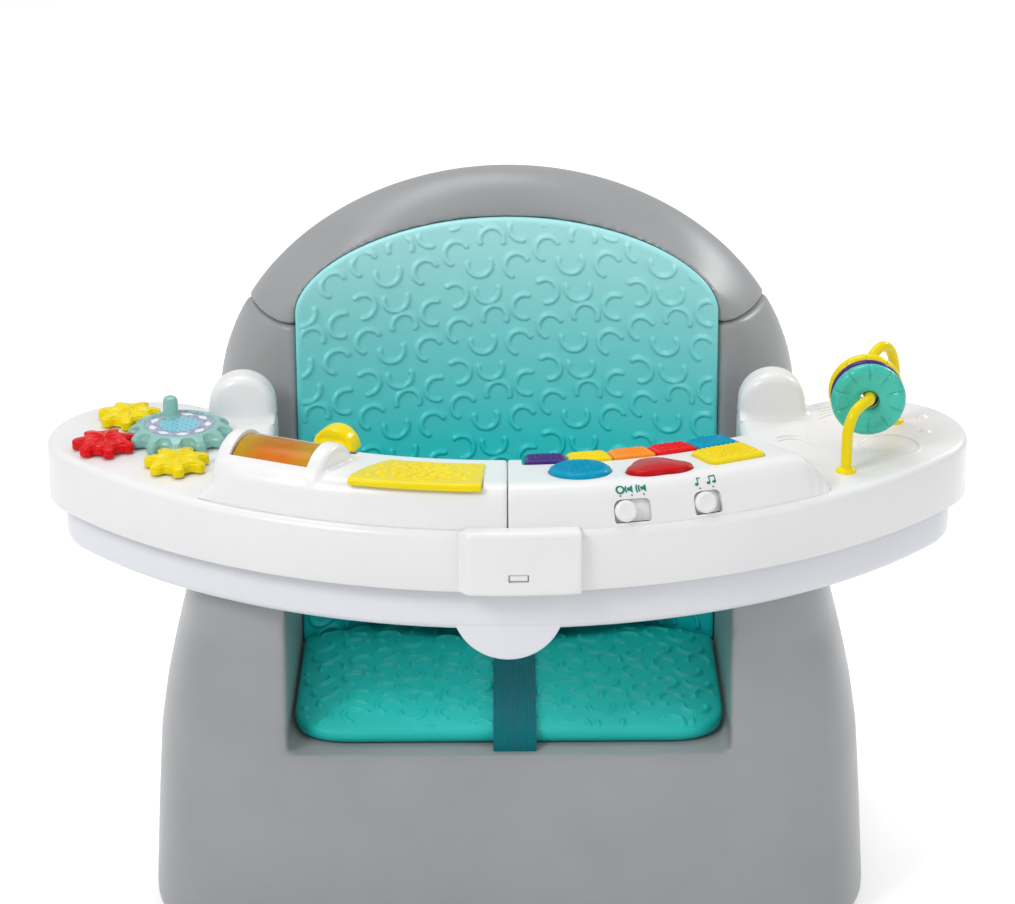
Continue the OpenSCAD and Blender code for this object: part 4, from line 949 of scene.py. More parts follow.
def post():
    """Rounded post beside the child: an upright plate with a half-round top, and a flared foot."""
    left, right = SHOULDER_X
    half, mid_x = (right - left) / 2, (left + right) / 2
    mid_y, face_y = RING_Y + SHOULDER_BACK - SHOULDER_DEPTH / 2, RING_Y + SHOULDER_BACK - 0.6
    arch = arc((0, SHOULDER_TOP - half), half, 0, 180, 90)
    plate = pillow(even(np.vstack([arch, [(-half, -6), (half, -6)]]), 220),
                   round_edge(5.5, 0, SHOULDER_DEPTH - 0.6, 9),
                   local(moved(mid_x, face_y, TRAY_Z) @ turned(90)), crowned(0.8), 12)
    rings = []
    for z in [-1.5] + steps(0, FLARE_H, 18):
        flare = 12.0 * (1 - sqrt(1 - (1 - clamp(z / FLARE_H)) ** 2)) - 3.5
        ring = []
        for a in np.linspace(0, 2 * pi, 96, endpoint=False):
            x = mid_x + (half + flare) * signed_power(cos(a), 0.55)
            y = mid_y + (SHOULDER_DEPTH / 2 + 0.45 * flare) * signed_power(sin(a), 0.55)
            ring.append((max(x, left), min(y, face_y), TRAY_Z + z))
        rings.append(ring)
    return [plate, loft(rings)]


def mirrored(parts):
    return [([(-x, y, z) for x, y, z in points], faces) for points, faces in parts]


def embossed_ring(r, width, rise, matrix):
    turns = np.linspace(0, 2 * pi, 14, endpoint=False)
    profile = [(r + width / 2 * cos(a), rise * sin(a) - 0.3) for a in turns]
    return lathe(profile, matrix)


def bump_pad(rx, ry, matrix):
    """Low oval swelling on a flat face."""
    outline = even(circle(1, 48) * (rx, ry), 48)
    return pillow(outline, [(0, -0.4), (0, 0)], local(matrix), lambda u, v, s: 1.3 * (1 - s ** 2) ** 1.3, 8)


def raised_arc(r, a, b, width, rise, matrix):
    """Raised arc of a ring, with round ends."""
    path = [matrix @ Vector((r * cos(t), r * sin(t), -width / 2 + rise))
            for t in (radians(d) for d in steps(a, b, 28))]
    return tube(path, lambda t: width / 2 * sqrt(max(0.02, 1 - abs(2 * t - 1) ** 6)), 12)


def make_toy_tray():
    under = [(TRAY_WALL, -TRAY_WALL), (TRAY_WALL, -BAND_H + 0.3), (TRAY_WALL - 0.4, -BAND_H),
             (0.8, -BAND_H), (0.25, -BAND_H + 0.25), (0, -BAND_H + 0.8)]
    deck = plate_rings(under + quarter(4.5, 0, 0, 8))
    mark = at(271, 46.7)
    reliefs = [
        embossed_ring(15.4, 3.0, 1.0, mark),
        embossed_ring(11.6, 1.2, 0.45, mark),
        bump_pad(4.4, 3.0, at(262, 56.6)),
        bump_pad(4.0, 3.2, at(273.5, 52.7)),
        raised_arc(13, -20, 95, 1.9, 0.9, at(236, 38.6)),
        raised_arc(9, -35, 110, 1.7, 0.8, at(236, 38.6)),
        *[raised_arc(26 + 3.4 * k, 55, 96, 1.5, 0.75, at(246, 48.5)) for k in range(4)],
    ]
    posts = soften(raw("posts", *post(), *mirrored(post())), 0.9, 9)
    skin = joined(raw("toy_tray_skin", loft(deck, "face"), *reliefs), posts)
    dress(skin, "toy_tray", "white", ["toy_tray_shell"], 45)


SNACK_Z0 = ARM_TOP_Z - TRAY_Z
SNACK_Z1 = SNACK_Z0 + SNACK_H
GRIP_HALF_W, GRIP_DROP = 25, 15.5
PEG = (26, 12, 30)
PEG_PLACE = (144, -28)


def make_snack_tray():
    floor, inside = SNACK_Z0 + 2.6, SNACK_INSET + TRAY_WALL
    levels = [(inside + 4, floor), (inside + 2.4, floor + 0.5), (inside + 0.8, floor + 1.7),
              (inside, floor + 4), (inside, SNACK_Z1 - 0.8), (inside - 0.5, SNACK_Z1 - 0.2),
              (inside - 1.2, SNACK_Z1), (SNACK_INSET + 0.5, SNACK_Z1 - 0.2), (SNACK_INSET, SNACK_Z1 - 0.8)]
    levels += quarter(5, SNACK_INSET, SNACK_Z0, 8, -1)
    grip_r = (GRIP_HALF_W ** 2 + GRIP_DROP ** 2) / (2 * GRIP_DROP)
    tongue = arc((0, grip_r - GRIP_DROP), grip_r, 180 + 22, 360 - 22, 60)

    def place(u, v, h):
        front = TRAY_R - SNACK_INSET
        return ring_point(front - 4.4 + h, degrees(u / front), SNACK_Z0 + v)

    grip = pillow(even(np.vstack([tongue, [(24, 4.5), (-24, 4.5)]]), 160), round_edge(0.9, 0, 3.9), place)
    plan = even(rectangle(PEG[0] / 2, PEG[1] / 2, 2), 72)
    pegs = [pillow(plan, round_edge(1.5, 0, PEG[2] + 1),
                   local(moved(side * PEG_PLACE[0], PEG_PLACE[1], ARM_TOP_Z - PEG[2]))) for side in (-1, 1)]
    piece("snack_tray_skin", [loft(plate_rings(levels), "face"), grip, *pegs], "snack", "cool_white",
          ["snack_tray"], 45)


# ---------------------------------------------------------------- consoles

def face_z(r):
    return CONSOLE_IN_H + (r - IN_R) * (CONSOLE_OUT_H - CONSOLE_IN_H) / (CONSOLE_R - 2 - IN_R)


def front_r(z):
    return CONSOLE_R + FOOT_OUT - z * FOOT_OUT / (CONSOLE_OUT_H - 0.8)


FRONT_TILT = degrees(atan2(FOOT_OUT, CONSOLE_OUT_H - 0.8))
FACE_TILT = degrees(atan2(CONSOLE_OUT_H - CONSOLE_IN_H, CONSOLE_R - 2 - IN_R))


def on_face(r, th, z=0.0):
    """Matrix of a place on the consoles' sloping face."""
    return at(r, th, face_z(r) + z) @ turned(-FACE_TILT)


def on_front(th, z):
    """Matrix on the consoles' front wall: X along it, Y up it and Z out of it."""
    return at(front_r(z), th, z) @ turned(90 - FRONT_TILT)


CONSOLE_OUTER = rounded([(IN_R, -0.7, 0), (front_r(-0.7), -0.7, 0), (CONSOLE_R, CONSOLE_OUT_H - 0.2, 8.5),
                         (IN_R, CONSOLE_IN_H, 3)], 11)
UNDER_TOP = CONSOLE_OUT_H - CONSOLE_WALL - 2.6
CONSOLE_INNER = rounded([(IN_R + CONSOLE_WALL, -1, 0), (front_r(-1) - CONSOLE_WALL * 1.1, -1, 0),
                         (front_r(UNDER_TOP) - CONSOLE_WALL * 1.1, UNDER_TOP, 2.5),
                         (IN_R + CONSOLE_WALL, CONSOLE_IN_H - CONSOLE_WALL - 0.4, 1)], 5)

HUMP_R, HUMP_LEN = DRUM_R + 2, DRUM_LEN + 16
THUMB_AT, THUMB_R, THUMB_Z = (238, -21.2), 11.2, 15
STEM, STEM_IN, THUMB_TRAVEL = (8, 4), 4.6, 8
FLAP_AT, FLAP_R0, FLAP_LOW = -9, 250, 18.3
# The flap's sides, as distances along the ring: the right one, and the curved left one's middle (how
# far from the ring axis, and along the ring) and radius
FLAP_RIGHT, FLAP_CLEAR = 30.7, 0.6
FLAP_SIDE = (284, 31, 62)
FLAP_MID_R = 271
KEY0_DEG, KEY_DEG, KEY_R = 1.9, 5.2, (229, 248)
ROUND_AT, ROUND_R = (265, 7.7), 15.2
RED_AT = (271, 15.9)
SQUARE_AT = (266, 24.3)
SWITCH_Z, KNOB_R = 6.9, 5.3
# Each switch's angle and the length of its slot
VOLUME, TUNE = (11.9, 18.5), (19.4, 14.3)
SLOT_H = 2 * KNOB_R + 0.8
HOLE_GAP = 0.5
FLAP_LINE = rounded([(FLAP_R0, face_z(FLAP_R0) + 1.2, 0), (292.3, face_z(291) + 1.1, 3.5),
                     (front_r(FLAP_LOW) + 2.4, FLAP_LOW, 0)], 10)
FLAP_RUN = run_along(FLAP_LINE)


def flap_place(u, v, h):
    """u along the ring, v along the flap's section and h out of it."""
    r, z = point_at(v, FLAP_RUN, FLAP_LINE)
    along = point_at(v + 0.8, FLAP_RUN, FLAP_LINE) - point_at(v - 0.8, FLAP_RUN, FLAP_LINE)
    along /= np.linalg.norm(along)
    return ring_point(r - along[1] * h, FLAP_AT + degrees(u / FLAP_MID_R), z + along[0] * h)


def flap_side(r, grow=0.0):
    """Curved left side of the flap, as a distance along the ring."""
    return FLAP_SIDE[1] - sqrt((FLAP_SIDE[2] + grow) ** 2 - (r - FLAP_SIDE[0]) ** 2)


def flap_outline():
    run = FLAP_RUN[-1]
    left = [(flap_side(point_at(v, FLAP_RUN, FLAP_LINE)[0]), v) for v in steps(0, run, 40)]
    return anticlockwise(even([(FLAP_RIGHT, run), (FLAP_RIGHT, 0)] + left, 260))


def flap_hole():
    """Upright hole under the flap, open to the console's front."""
    low_r, high_r, right = FLAP_R0 - FLAP_CLEAR, 312, FLAP_RIGHT + FLAP_CLEAR
    plan = [(right, low_r), (right, high_r)]
    plan += [(flap_side(r, FLAP_CLEAR), r) for r in steps(high_r, low_r, 60)]
    return loft([[ring_point(r, FLAP_AT + degrees(u / FLAP_MID_R), z) for u, r in plan]
                 for z in (FLAP_LOW - 0.5, 40)], "face")


def make_left_console():
    body = sweep(CONSOLE_OUTER, -31.5, -0.03, (3.6, 0))
    drum = drum_matrix()
    half = degrees(acos((DRUM_Z - 0.3) / HUMP_R))
    dome = even(arc((0, 0), HUMP_R, half, 360 - half, 120), 160)
    hump = pillow(dome, round_edge(3, -HUMP_LEN / 2, HUMP_LEN / 2), local(drum), None, 3)
    shell = cut(soften(raw("left_console_skin", body, hump), 1.1, 3),
                sweep(CONSOLE_INNER, -30.8, -0.6, (2.6, 0)))
    slot_x = STEM[0] / 2 + THUMB_TRAVEL + 0.5
    cut(soften(shell, 0.8, 2),
        rod(DRUM_R + 0.4, DRUM_LEN + 0.8, drum),
        block((-60, 0), (-15.6, 15.6), (-DRUM_LEN / 2, DRUM_LEN / 2), drum),
        flap_hole(),
        block((-slot_x, slot_x), (-STEM_IN - 0.3, STEM[1] - STEM_IN + 0.3), (4, 30), at(*THUMB_AT)))
    dress(shell, "toy_tray", "white", ["left_console"], 35)


def red_outline(grow=0.0):
    turns = np.linspace(0, 2 * pi, 300, endpoint=False)
    r = 13.6 + 1.9 * np.cos(3 * (turns - pi / 2))
    return grown(even(np.stack([r * 1.16 * np.cos(turns) - 1, r * np.sin(turns)], 1), 150), grow)


def square_outline(grow=0.0):
    return grown(even(rectangle(15, 12.5, 4), 150), grow)


def switch_outline(slot):
    half = slot[1] / 2
    return even(rounded([(-half, -SLOT_H / 2, 1.5), (half, -SLOT_H / 2, 1.5), (half, SLOT_H / 2, 4),
                         (-half, SLOT_H / 2, 4)], 6), 96)


def make_right_console():
    body = sweep(CONSOLE_OUTER, 0.03, 33.5, (0, 3.6))
    end_r = KEY_R[1] + HOLE_GAP
    keys = [(225, 5), (end_r, 5), (end_r, 40), (225, 40)]
    holes = [sweep(keys, KEY0_DEG - 0.25, KEY0_DEG + 5 * KEY_DEG + 0.3),
             prism(circle(ROUND_R + HOLE_GAP), -14, 9, on_face(*ROUND_AT)),
             prism(red_outline(HOLE_GAP), -14, 9, on_face(*RED_AT)),
             prism(square_outline(HOLE_GAP), -14, 9, on_face(*SQUARE_AT))]
    holes += [prism(switch_outline(slot), -8, 9, on_front(slot[0], SWITCH_Z)) for slot in (VOLUME, TUNE)]
    shell = cut(raw("right_console_skin", body), sweep(CONSOLE_INNER, 0.6, 32.8, (0, 2.6)))
    dress(cut(soften(shell, 0.8, 2), *holes), "toy_tray", "white", ["right_console"], 35)


LATCH_DEG, LATCH_OUT = (-4.6, 6.7), 5.5
LATCH_X, LATCH_Z, LATCH_HOLE, LATCH_FLANGE = 5.1, -21.2, (5, 2.2), (6.2, 3.4)


def make_latch():
    outer, inner, wall = TRAY_R + LATCH_OUT, TRAY_R - 4.5, TRAY_R - 0.3
    profile = rounded([(wall, -BAND_H, 0), (outer, -BAND_H, 2.5), (outer, 2, 4.5), (inner, 2, 1),
                       (inner, -0.3, 0), (wall, -0.3, 0)], 7)
    rings = []
    for th in steps(*LATCH_DEG, 60):
        share = clamp((th - LATCH_DEG[0]) / 1.1)
        swell = share * share * (3 - 2 * share)
        rings.append([ring_point(mix(min(r, TRAY_R + 0.3), r, swell), th, mix(min(z, 0.2), z, swell))
                      for r, z in profile])
    place = moved(LATCH_X, RING_Y - TRAY_R, TRAY_Z + LATCH_Z) @ turned(90)
    hole, flange = (even(rectangle(*half, 0.8, 4), 64) for half in (LATCH_HOLE, LATCH_FLANGE))
    body = cut(soften(raw("latch_skin", loft(rings)), 0.8, 2), prism(hole, -4, 12, place),
               prism(flange, -4, 3, place))
    dress(body, "toy_tray", "white", ["latch_cover"], 30)
    bar = pillow(grown(hole, -0.35), [(0, 2.4), (0, LATCH_OUT - 1.5), (0.5, LATCH_OUT - 0.9)], local(place),
                 crowned(0.25), 6)
    piece("latch_bar", [bar, prism(grown(flange, -0.35), 1.9, 2.7, place)], "latch_button", "white",
          ["latch_button"])


# ---------------------------------------------------------------- gears

BIG_AT = (241.3, -44.7)
BIG_XY = (BIG_AT[0] * sin(radians(BIG_AT[1])), -BIG_AT[0] * cos(radians(BIG_AT[1])))
BIG_TEETH, SMALL_TEETH = 12, 7
MESH = GEAR_M * (BIG_TEETH + SMALL_TEETH) / 2
GEAR_Z, BIG_H, SMALL_H = 0.5, 9, 6
STICKER_R, CRANK_XY, CRANK_R, CRANK_H = 18.3, (-5.8, 12), 4, 10


def gear_matrix(x, y, turn):
    return moved(x, RING_Y + y, TRAY_Z + GEAR_Z) @ turned(turn, "Z")


def small_gear(direction):
    """Matrix of a small gear that stands in a direction from the big one and meshes with it."""
    a = radians(direction)
    turn = direction + 180 + 180 / SMALL_TEETH + direction * BIG_TEETH / SMALL_TEETH
    return gear_matrix(BIG_XY[0] + MESH * cos(a), BIG_XY[1] + MESH * sin(a), turn)


def involute(base, r):
    c = acos(min(1, base / r))
    return tan(c) - c


def half_tooth(teeth, r):
    pitch = GEAR_M * teeth / 2
    base = pitch * cos(radians(PRESSURE))
    return pi / 2 / teeth - BACKLASH / 2 / pitch + involute(base, pitch) - involute(base, max(base, r))


def gear_outline(teeth):
    pitch = GEAR_M * teeth / 2
    tip, root = pitch + 0.5 * GEAR_M, pitch - 0.64 * GEAR_M
    low = max(root, pitch * cos(radians(PRESSURE)))
    flank = [(root, half_tooth(teeth, low) + 0.02)] + [(r, half_tooth(teeth, r)) for r in steps(low, tip, 7)]
    sides = [(r, -half) for r, half in flank] + flank[::-1]
    out = [(r * cos(a + turn), r * sin(a + turn))
           for a in (2 * pi * k / teeth for k in range(teeth)) for r, turn in sides]
    return smoothed(even(np.array(out), 36 * teeth), 4)


def star(teeth, reach, rise):
    """Raised star with a ridge towards each tooth, and a small boss at its middle."""
    def top(u, v, s):
        r = hypot(u, v)
        ridge = abs(cos(teeth * atan2(v, u) / 2)) ** 3
        arm = ridge * clamp((reach - r) / 6)
        dome = 1 - min(1.0, r / (reach + 3)) ** 2
        return rise * (0.75 * arm * min(1.0, r / 2.5) + 0.9 * dome + 0.3 * exp(-(r / 2.4) ** 2))

    return top


def make_small_gear(name, direction, look):
    side = [(0.4, 0.3), (0, 0.7), (0, SMALL_H - 1.9), (0.25, SMALL_H - 1.4), (0.8, SMALL_H - 1.15)]
    place = local(small_gear(direction))
    form = pillow(gear_outline(SMALL_TEETH), side, place, star(SMALL_TEETH, 14.5, 1.3), 30)
    piece(f"{name}_skin", [form], name, look, [name], 40)


def make_crank_gear():
    matrix = gear_matrix(*BIG_XY, 0)
    rim = STICKER_R + 0.9

    def top(u, v, s):
        r = hypot(u, v)
        return 2.45 if r < rim - 0.8 else 3.1 * (1 - clamp((r - rim) / 8) ** 1.3)

    side = [(0.6, 0.3), (0, 1.0), (0, BIG_H - 4.9), (0.3, BIG_H - 4.2), (0.9, BIG_H - 3.6)]
    form = pillow(gear_outline(BIG_TEETH), side, local(matrix), top, 34)
    peg = lathe([(0.01, -1.6), (CRANK_R + 1.2, -1.6), (CRANK_R + 0.3, -0.2), (CRANK_R, 0.8),
                 (CRANK_R - 0.15, CRANK_H - 2.4), (CRANK_R - 0.8, CRANK_H - 0.8),
                 (CRANK_R - 2.2, CRANK_H - 0.1), (0.01, CRANK_H)], matrix @ moved(*CRANK_XY, BIG_H), 48)
    piece("crank_gear_skin", [form, peg], "crank", "pale_teal", ["crank_gear"], 40)
    film = pillow(circle(STICKER_R - 0.3, 120), [(0, BIG_H - 1.5), (0, BIG_H - 1.05), (0.15, BIG_H - 0.95)],
                  local(matrix), None, 6)
    piece("sticker_film", [film], "crank", "sticker", ["gear_sticker"])


# ---------------------------------------------------------------- drum, slider and flap

def make_drum():
    for name, outline, inset, edge, look in (("drum", circle(DRUM_R, 128), 0, 1.2, "amber"),
                                             ("drum_core", circle(CORE_R), 2.2, 6, "core")):
        side = round_edge(edge, -DRUM_LEN / 2 + inset, DRUM_LEN / 2 - inset)
        piece(f"{name}_skin", [pillow(outline, side, local(drum_matrix()), None, 3)], "drum", look, [name])


def make_thumb():
    matrix = at(*THUMB_AT, THUMB_Z)

    def top(u, v, s):
        band = exp(-((v - THUMB_R * 0.5) / 1.5) ** 2)
        return -0.9 * band * min(1.0, (1 - s) * 5) + 0.3 * (1 - s * s)

    form = pillow(even(arc((0, 0), THUMB_R, 0, 180, 60), 120), round_edge(1.6, 0, 11),
                  local(matrix @ turned(90) @ moved(0, 0, -6.4)), top, 18)
    stem = block((-STEM[0] / 2, STEM[0] / 2), (-STEM_IN, STEM[1] - STEM_IN), (-4.7, 0.8), matrix)
    foot = block((-7, 7), (-7.2, -0.4), (-6, -4.6), matrix)
    piece("thumb_skin", [form, stem, foot], "thumb_slider", "yellow", ["thumb_slider"])


FLOWER = (0, 19)
# Each dot's place on the flap and its size
DOTS = [(-19.5, 27, 2.6), (-15.5, 33.5, 2.2), (-23, 33, 1.8), (-18.5, 19.5, 2.0), (19, 24, 2.2),
        (22.5, 30, 2.4), (15.5, 32.5, 2.1), (-8, 37, 1.7), (24, 20, 1.6), (18, 9, 1.8), (-15, 9.5, 1.9),
        (4, 36, 2.2), (25.5, 12, 1.4), (-21.5, 14, 1.3)]


def knob(far):
    return sqrt(max(0.0, 1 - far * far))


def flap_relief(u, v, s):
    """Flower of three rings of petals, with dots around it."""
    du, dv = u - FLOWER[0], v - FLOWER[1]
    turn = atan2(dv, du)
    rise = 1.2 * knob(hypot(du, dv) / 2.4)
    for count, ring, size in ((6, 4.4, 2.1), (9, 8.9, 2.7), (12, 13.6, 3.0)):
        nearest = round(turn * count / (2 * pi)) * 2 * pi / count
        far = hypot(du - ring * cos(nearest), dv - ring * sin(nearest)) / size
        rise = max(rise, 1.1 * knob(far) - 0.25 * exp(-(2.5 * far) ** 2))
    for x, y, size in DOTS:
        rise = max(rise, 0.95 * knob(hypot(u - x, (v - y) * 1.3) / size))
    return rise * min(1.0, (1 - s) * 12)


def make_flap():
    side = [(0.5, -1.7), (0, -1.3), (0, -0.7), (0.25, -0.25), (0.8, 0)]
    top = pillow(flap_outline(), side, flap_place, flap_relief, 64)
    pin = at(252.8, FLAP_AT, 11.4)
    barrel = rod(2.8, 45, pin @ moved(3.5, 0, 0) @ turned(90, "Y"), 40, 0.5)
    web = block((-19, 26), (-2.5, 2.5), (0, 3.6), pin)
    piece("flap_skin", [top, barrel, web], "flap", "yellow", ["flap"], 50)


# ---------------------------------------------------------------- keys, buttons and switches

STEM_Z, STUD_PITCH, KEY_GAP = 2.25, 2.7, 0.18


def studs(rise):
    """Small studs in square rows, fading at the edge."""
    def top(u, v, s):
        wave = cos(2 * pi * u / STUD_PITCH) * cos(2 * pi * v / STUD_PITCH)
        return rise * max(0.0, wave) ** 0.9 * min(1.0, (1 - s) * 8)

    return top


def make_key(k, name, look):
    middle = KEY0_DEG + (k + 0.5) * KEY_DEG
    half = radians(KEY_DEG - KEY_GAP) / 2
    r0, r1 = KEY_R
    z1 = face_z(r1)
    corners = [(-1, r0 + 0.4), (1, r0 + 0.4), (1, r1 - 0.1), (-1, r1 - 0.1)]
    outline = rounded([(side * r * sin(half), -r * cos(half), 2) for side, r in corners], 7)
    matrix = at(0, middle)

    def place(u, v, h):
        fall = np.interp(-v, (r0, r0 + 2, r0 + 5, r1 - 1, r1), (-5.2, -3.2, -2.0, 0, -0.2))
        return matrix @ Vector((u, v, z1 + float(fall) * clamp((h + 6) / 6) + h))

    side = [(0.6, -7.6), (0, -7.2), (0, 0.4), (0.35, 1.0), (1.1, 1.4)]
    cap = pillow(anticlockwise(even(outline, 240)), side, place, crowned(0.3, studs(0.8)), 44)
    stem = block((-3, 3), (-3, 3), (STEM_Z, 8.5), at(244.6, middle))
    lip = block((-9, 9), (-1.4, 2), (z1 - 3.9, z1 - 2.6), at(r1, middle))
    piece(f"{name}_skin", [cap, stem, lip], name, look, [name], 40)


def make_button(name, look, place, outline, top):
    low = at(*place)
    z_face = face_z(place[0])
    z_flange = face_z(place[0] - 17) - CONSOLE_WALL - 0.3 - 1.4
    outline = even(outline, 240)
    cap = pillow(outline, [(0.3, -4.5), (0, -4), (0, 0.8), (0.35, 1.4), (1.1, 1.8)],
                 local(on_face(*place)), top, 60)
    skirt = prism(grown(outline, 0.9), z_flange, z_flange + 1.4, low)
    sleeve = prism(grown(outline, -2), z_flange + 0.7, z_face - 3, low)
    stem = rod(4, z_flange - STEM_Z + 1, low @ moved(0, 0, (z_flange + STEM_Z + 1) / 2), 32)
    piece(f"{name}_skin", [cap, skirt, sleeve, stem], name, look, [name], 40)


def make_keypad():
    for k, look in enumerate(("purple", "yellow", "orange", "red", "blue")):
        make_key(k, f"{look}_key", look)
    make_button("round_button", "blue", ROUND_AT, circle(ROUND_R, 150), crowned(1.9, studs(0.95)))
    make_button("red_button", "ruby", RED_AT, red_outline(), crowned(1.5))
    make_button("square_button", "yellow", SQUARE_AT, square_outline(), crowned(1.2, studs(1.0)))


def make_switch(name, slot):
    matrix = on_front(slot[0], SWITCH_Z) @ moved(KNOB_R + 0.3 - slot[1] / 2, 0, 0)
    knob_form = lathe([(0.01, -3.7), (KNOB_R, -3.7), (KNOB_R, 1.6), (KNOB_R - 0.3, 2.4), (KNOB_R - 1.2, 2.9),
                       (KNOB_R - 2.2, 2.75), (0.01, 2.5)], matrix, 64)
    plate = block((-slot[1] / 2 - 4, slot[1] / 2 + 4), (-5.4, 6.2), (-4.1, -3.1), matrix)
    piece(f"{name}_skin", [knob_form, plate], name, "white", [name], 35)


# The stretch of the consoles' section that is their front wall and its rounding
FRONT_LINE = CONSOLE_OUTER[1:14]
FRONT_RUN = run_along(FRONT_LINE)
MARK_SIZE = 1.2


def on_wall(th, run):
    """place(u, v, h) on the consoles' front wall, whose rounding it follows, run up from its foot."""
    def place(u, v, h):
        r, z = point_at(run + v * MARK_SIZE, FRONT_RUN, FRONT_LINE)
        return ring_point(r + h * 0.9, th + degrees(u * MARK_SIZE / r), z + h * 0.4)

    return place


def flat(outline, place):
    """Thin printed mark on a face."""
    base = even(anticlockwise(np.array(outline, float)), 72)
    return loft([[place(u, v, h) for u, v in base] for h in (-0.3, 0.22)], "face")


def thick_arc(x, r, w, a, b, place):
    sides = [arc((x, 0), r + w / 2, a, b, 24), arc((x, 0), r - w / 2, b, a, 24)]
    return flat(np.vstack(sides), place)


def speaker(x, place):
    body = [(-1.5, -0.7), (-0.5, -0.7), (0.7, -1.6), (0.7, 1.6), (-0.5, 0.7), (-1.5, 0.7)]
    return flat([(x + u, v) for u, v in body], place)


def note(x, place, double):
    """A note with a flag, or two notes with a beam."""
    beam = [(0.45, 1.4), (2.0, 1.2), (2.0, 1.65), (0.45, 1.95)]
    if double:
        beam = [(0.45, 1.35), (3.3, 1.55), (3.3, 2.15), (0.45, 1.95)]
    parts = []
    for du, v in ((0, -1.1), (2.5, -0.9))[: 2 if double else 1]:
        left, right = x + du + 0.45, x + du + 0.8
        parts += [flat(circle(0.62, 20) * (1.25, 1) + (x + du, v), place),
                  flat([(left, v), (right, v), (right, v + 3), (left, v + 3)], place)]
    return [*parts, flat([(x + u, v) for u, v in beam], place)]


def make_marks():
    """Plain signs over the switches: off, soft and loud, and one note or two."""
    run = (SWITCH_Z + SLOT_H / 2 + 4.9) / cos(radians(FRONT_TILT))
    volume, tune = on_wall(VOLUME[0], run), on_wall(TUNE[0], run)
    marks = [thick_arc(*numbers, volume) for numbers in (
        (-4.6, 1.5, 0.75, 0, 180), (-4.6, 1.5, 0.75, 180, 360), (-0.1, 2.3, 0.6, 145, 215),
        (5.4, 2.3, 0.6, 145, 215), (5.4, 3.3, 0.6, 150, 210))]
    marks += [speaker(x, volume) for x in (-0.2, 5.4)] + note(-4.0, tune, False) + note(1.2, tune, True)
    marks += [flat(circle(0.35, 14, (x, -2.6)), volume) for x in (-4.8, 0.0, 5.0)]
    marks += [flat(circle(0.35, 14, (x, -2.9)), tune) for x in (-2.9, 2.9)]
    piece("switch_marks", marks, "toy_tray", "print")


# ---------------------------------------------------------------- bead loop

WIRE_FEET = [(170.7, -220.6), (203, -151)]
WIRE = [(170.7, -220.6, -2.4), (170.7, -220.6, 12), (171.2, -220.2, 22), (174.2, -217.6, 30),
        (179, -212.8, 33.2), (WIRE_X, -207, WIRE_Z), (WIRE_X, -194, WIRE_Z), (WIRE_X, -181, WIRE_Z),
        (184.6, -174, 36.6), (188.4, -168.4, 43), (193.4, -163.8, 46.2), (198.4, -158.6, 42.6),
        (201.6, -153.8, 33), (203, -151, 18), (203, -151, -2.4)]
DISC_Z = WIRE_Z - (DISC_BORE_R - WIRE_R - 0.3)
# Name, look, place along the wire, thickness and radius
DISCS = (("teal_disc", "teal_toy", -202, 7.4, DISC_R), ("purple_disc", "purple", -194.9, 6, DISC_R - 0.4),
         ("yellow_disc", "yellow", -187.5, 8, DISC_R))


def make_disc(name, look, y, t, r):
    """Disc of radius r and thickness t, with a dished face, a round rim and ten grooves."""
    matrix = moved(WIRE_X, RING_Y + y - t / 2, TRAY_Z + DISC_Z) @ turned(-90)
    edge = t / 2
    rim = [(r - edge + edge * cos(a), edge + edge * 0.98 * sin(a)) for a in np.linspace(pi / 2, -pi / 2, 15)]
    bore = [(DISC_BORE_R + out, z) for out, z in ((1.6, 0.5), (0.5, 0.9), (0, 1.8))]
    bore += [(q, t - z) for q, z in reversed(bore)]
    dish = [(q, t - 0.06 - 0.9 * sin(pi * (q - 6.8) / (r - edge - 6.8)))
            for q in np.linspace(8, r - edge - 0.8, 6)]

    def groove(angle, radius, z):
        if radius < r * 0.5:
            return 0.0
        near = abs((angle / (pi / 5)) % 1 - 0.5) * pi / 5 * radius
        depth = 0.75 * exp(-((near / 0.55) ** 2)) * min(1.0, (radius - r * 0.5) / 2)
        return depth * (1 if z < t / 2 else -1) * min(1.0, abs(z - t / 2) / (t * 0.3))

    profile = bore + dish + rim + [(q, t - z) for q, z in reversed(dish)]
    piece(f"{name}_skin", [lathe(profile, matrix, 360, groove)], name, look, [name], 40)


def make_beads():
    wire = tube(spline([(x, y + RING_Y, z + TRAY_Z) for x, y, z in WIRE], 8), WIRE_R, 28)
    foot = [(0.5, 0.02), (5.3, 0.02), (5.1, 0.7), (4.2, 1.4), (3.1, 2.2), (2.5, 2.6), (0.5, 2.6)]
    feet = [lathe(foot, moved(x, RING_Y + y, TRAY_Z), 48) for x, y in WIRE_FEET]
    piece("bead_wire_skin", [wire, *feet], "toy_tray", "yellow", ["bead_wire"], 60)
    for disc in DISCS:
        make_disc(*disc)


# ---------------------------------------------------------------- carried-over nodes

def paint_nodes():
    looks = {"grey": ["base_plate"], "rubber": ["foot_pads", "keypad_mat"], "cell": ["batteries"],
             "steel": ["base_screws", "tray_screws", "drum_axle", "flap_pin"], "board": ["circuit_board"],
             "white": ["tray_bottom", "battery_door", "gear_spindles"], "black": ["loudspeaker"]}
    for look, nodes in looks.items():
        for node in nodes:
            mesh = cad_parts[node].data
            mesh.materials.clear()
            mesh.materials.append(LOOKS[look][0])


# ---------------------------------------------------------------- room, lights and camera

CAMERA_TARGET = Vector((0, -0.026, 0.245))
CAMERA_FAR, CAMERA_RISE, CAMERA_ROLL, CAMERA_LENS = 1.6, 21.5, -0.3, 110.6
FLOOR_LIFT, FLOOR_SIZE = 0.36, 30


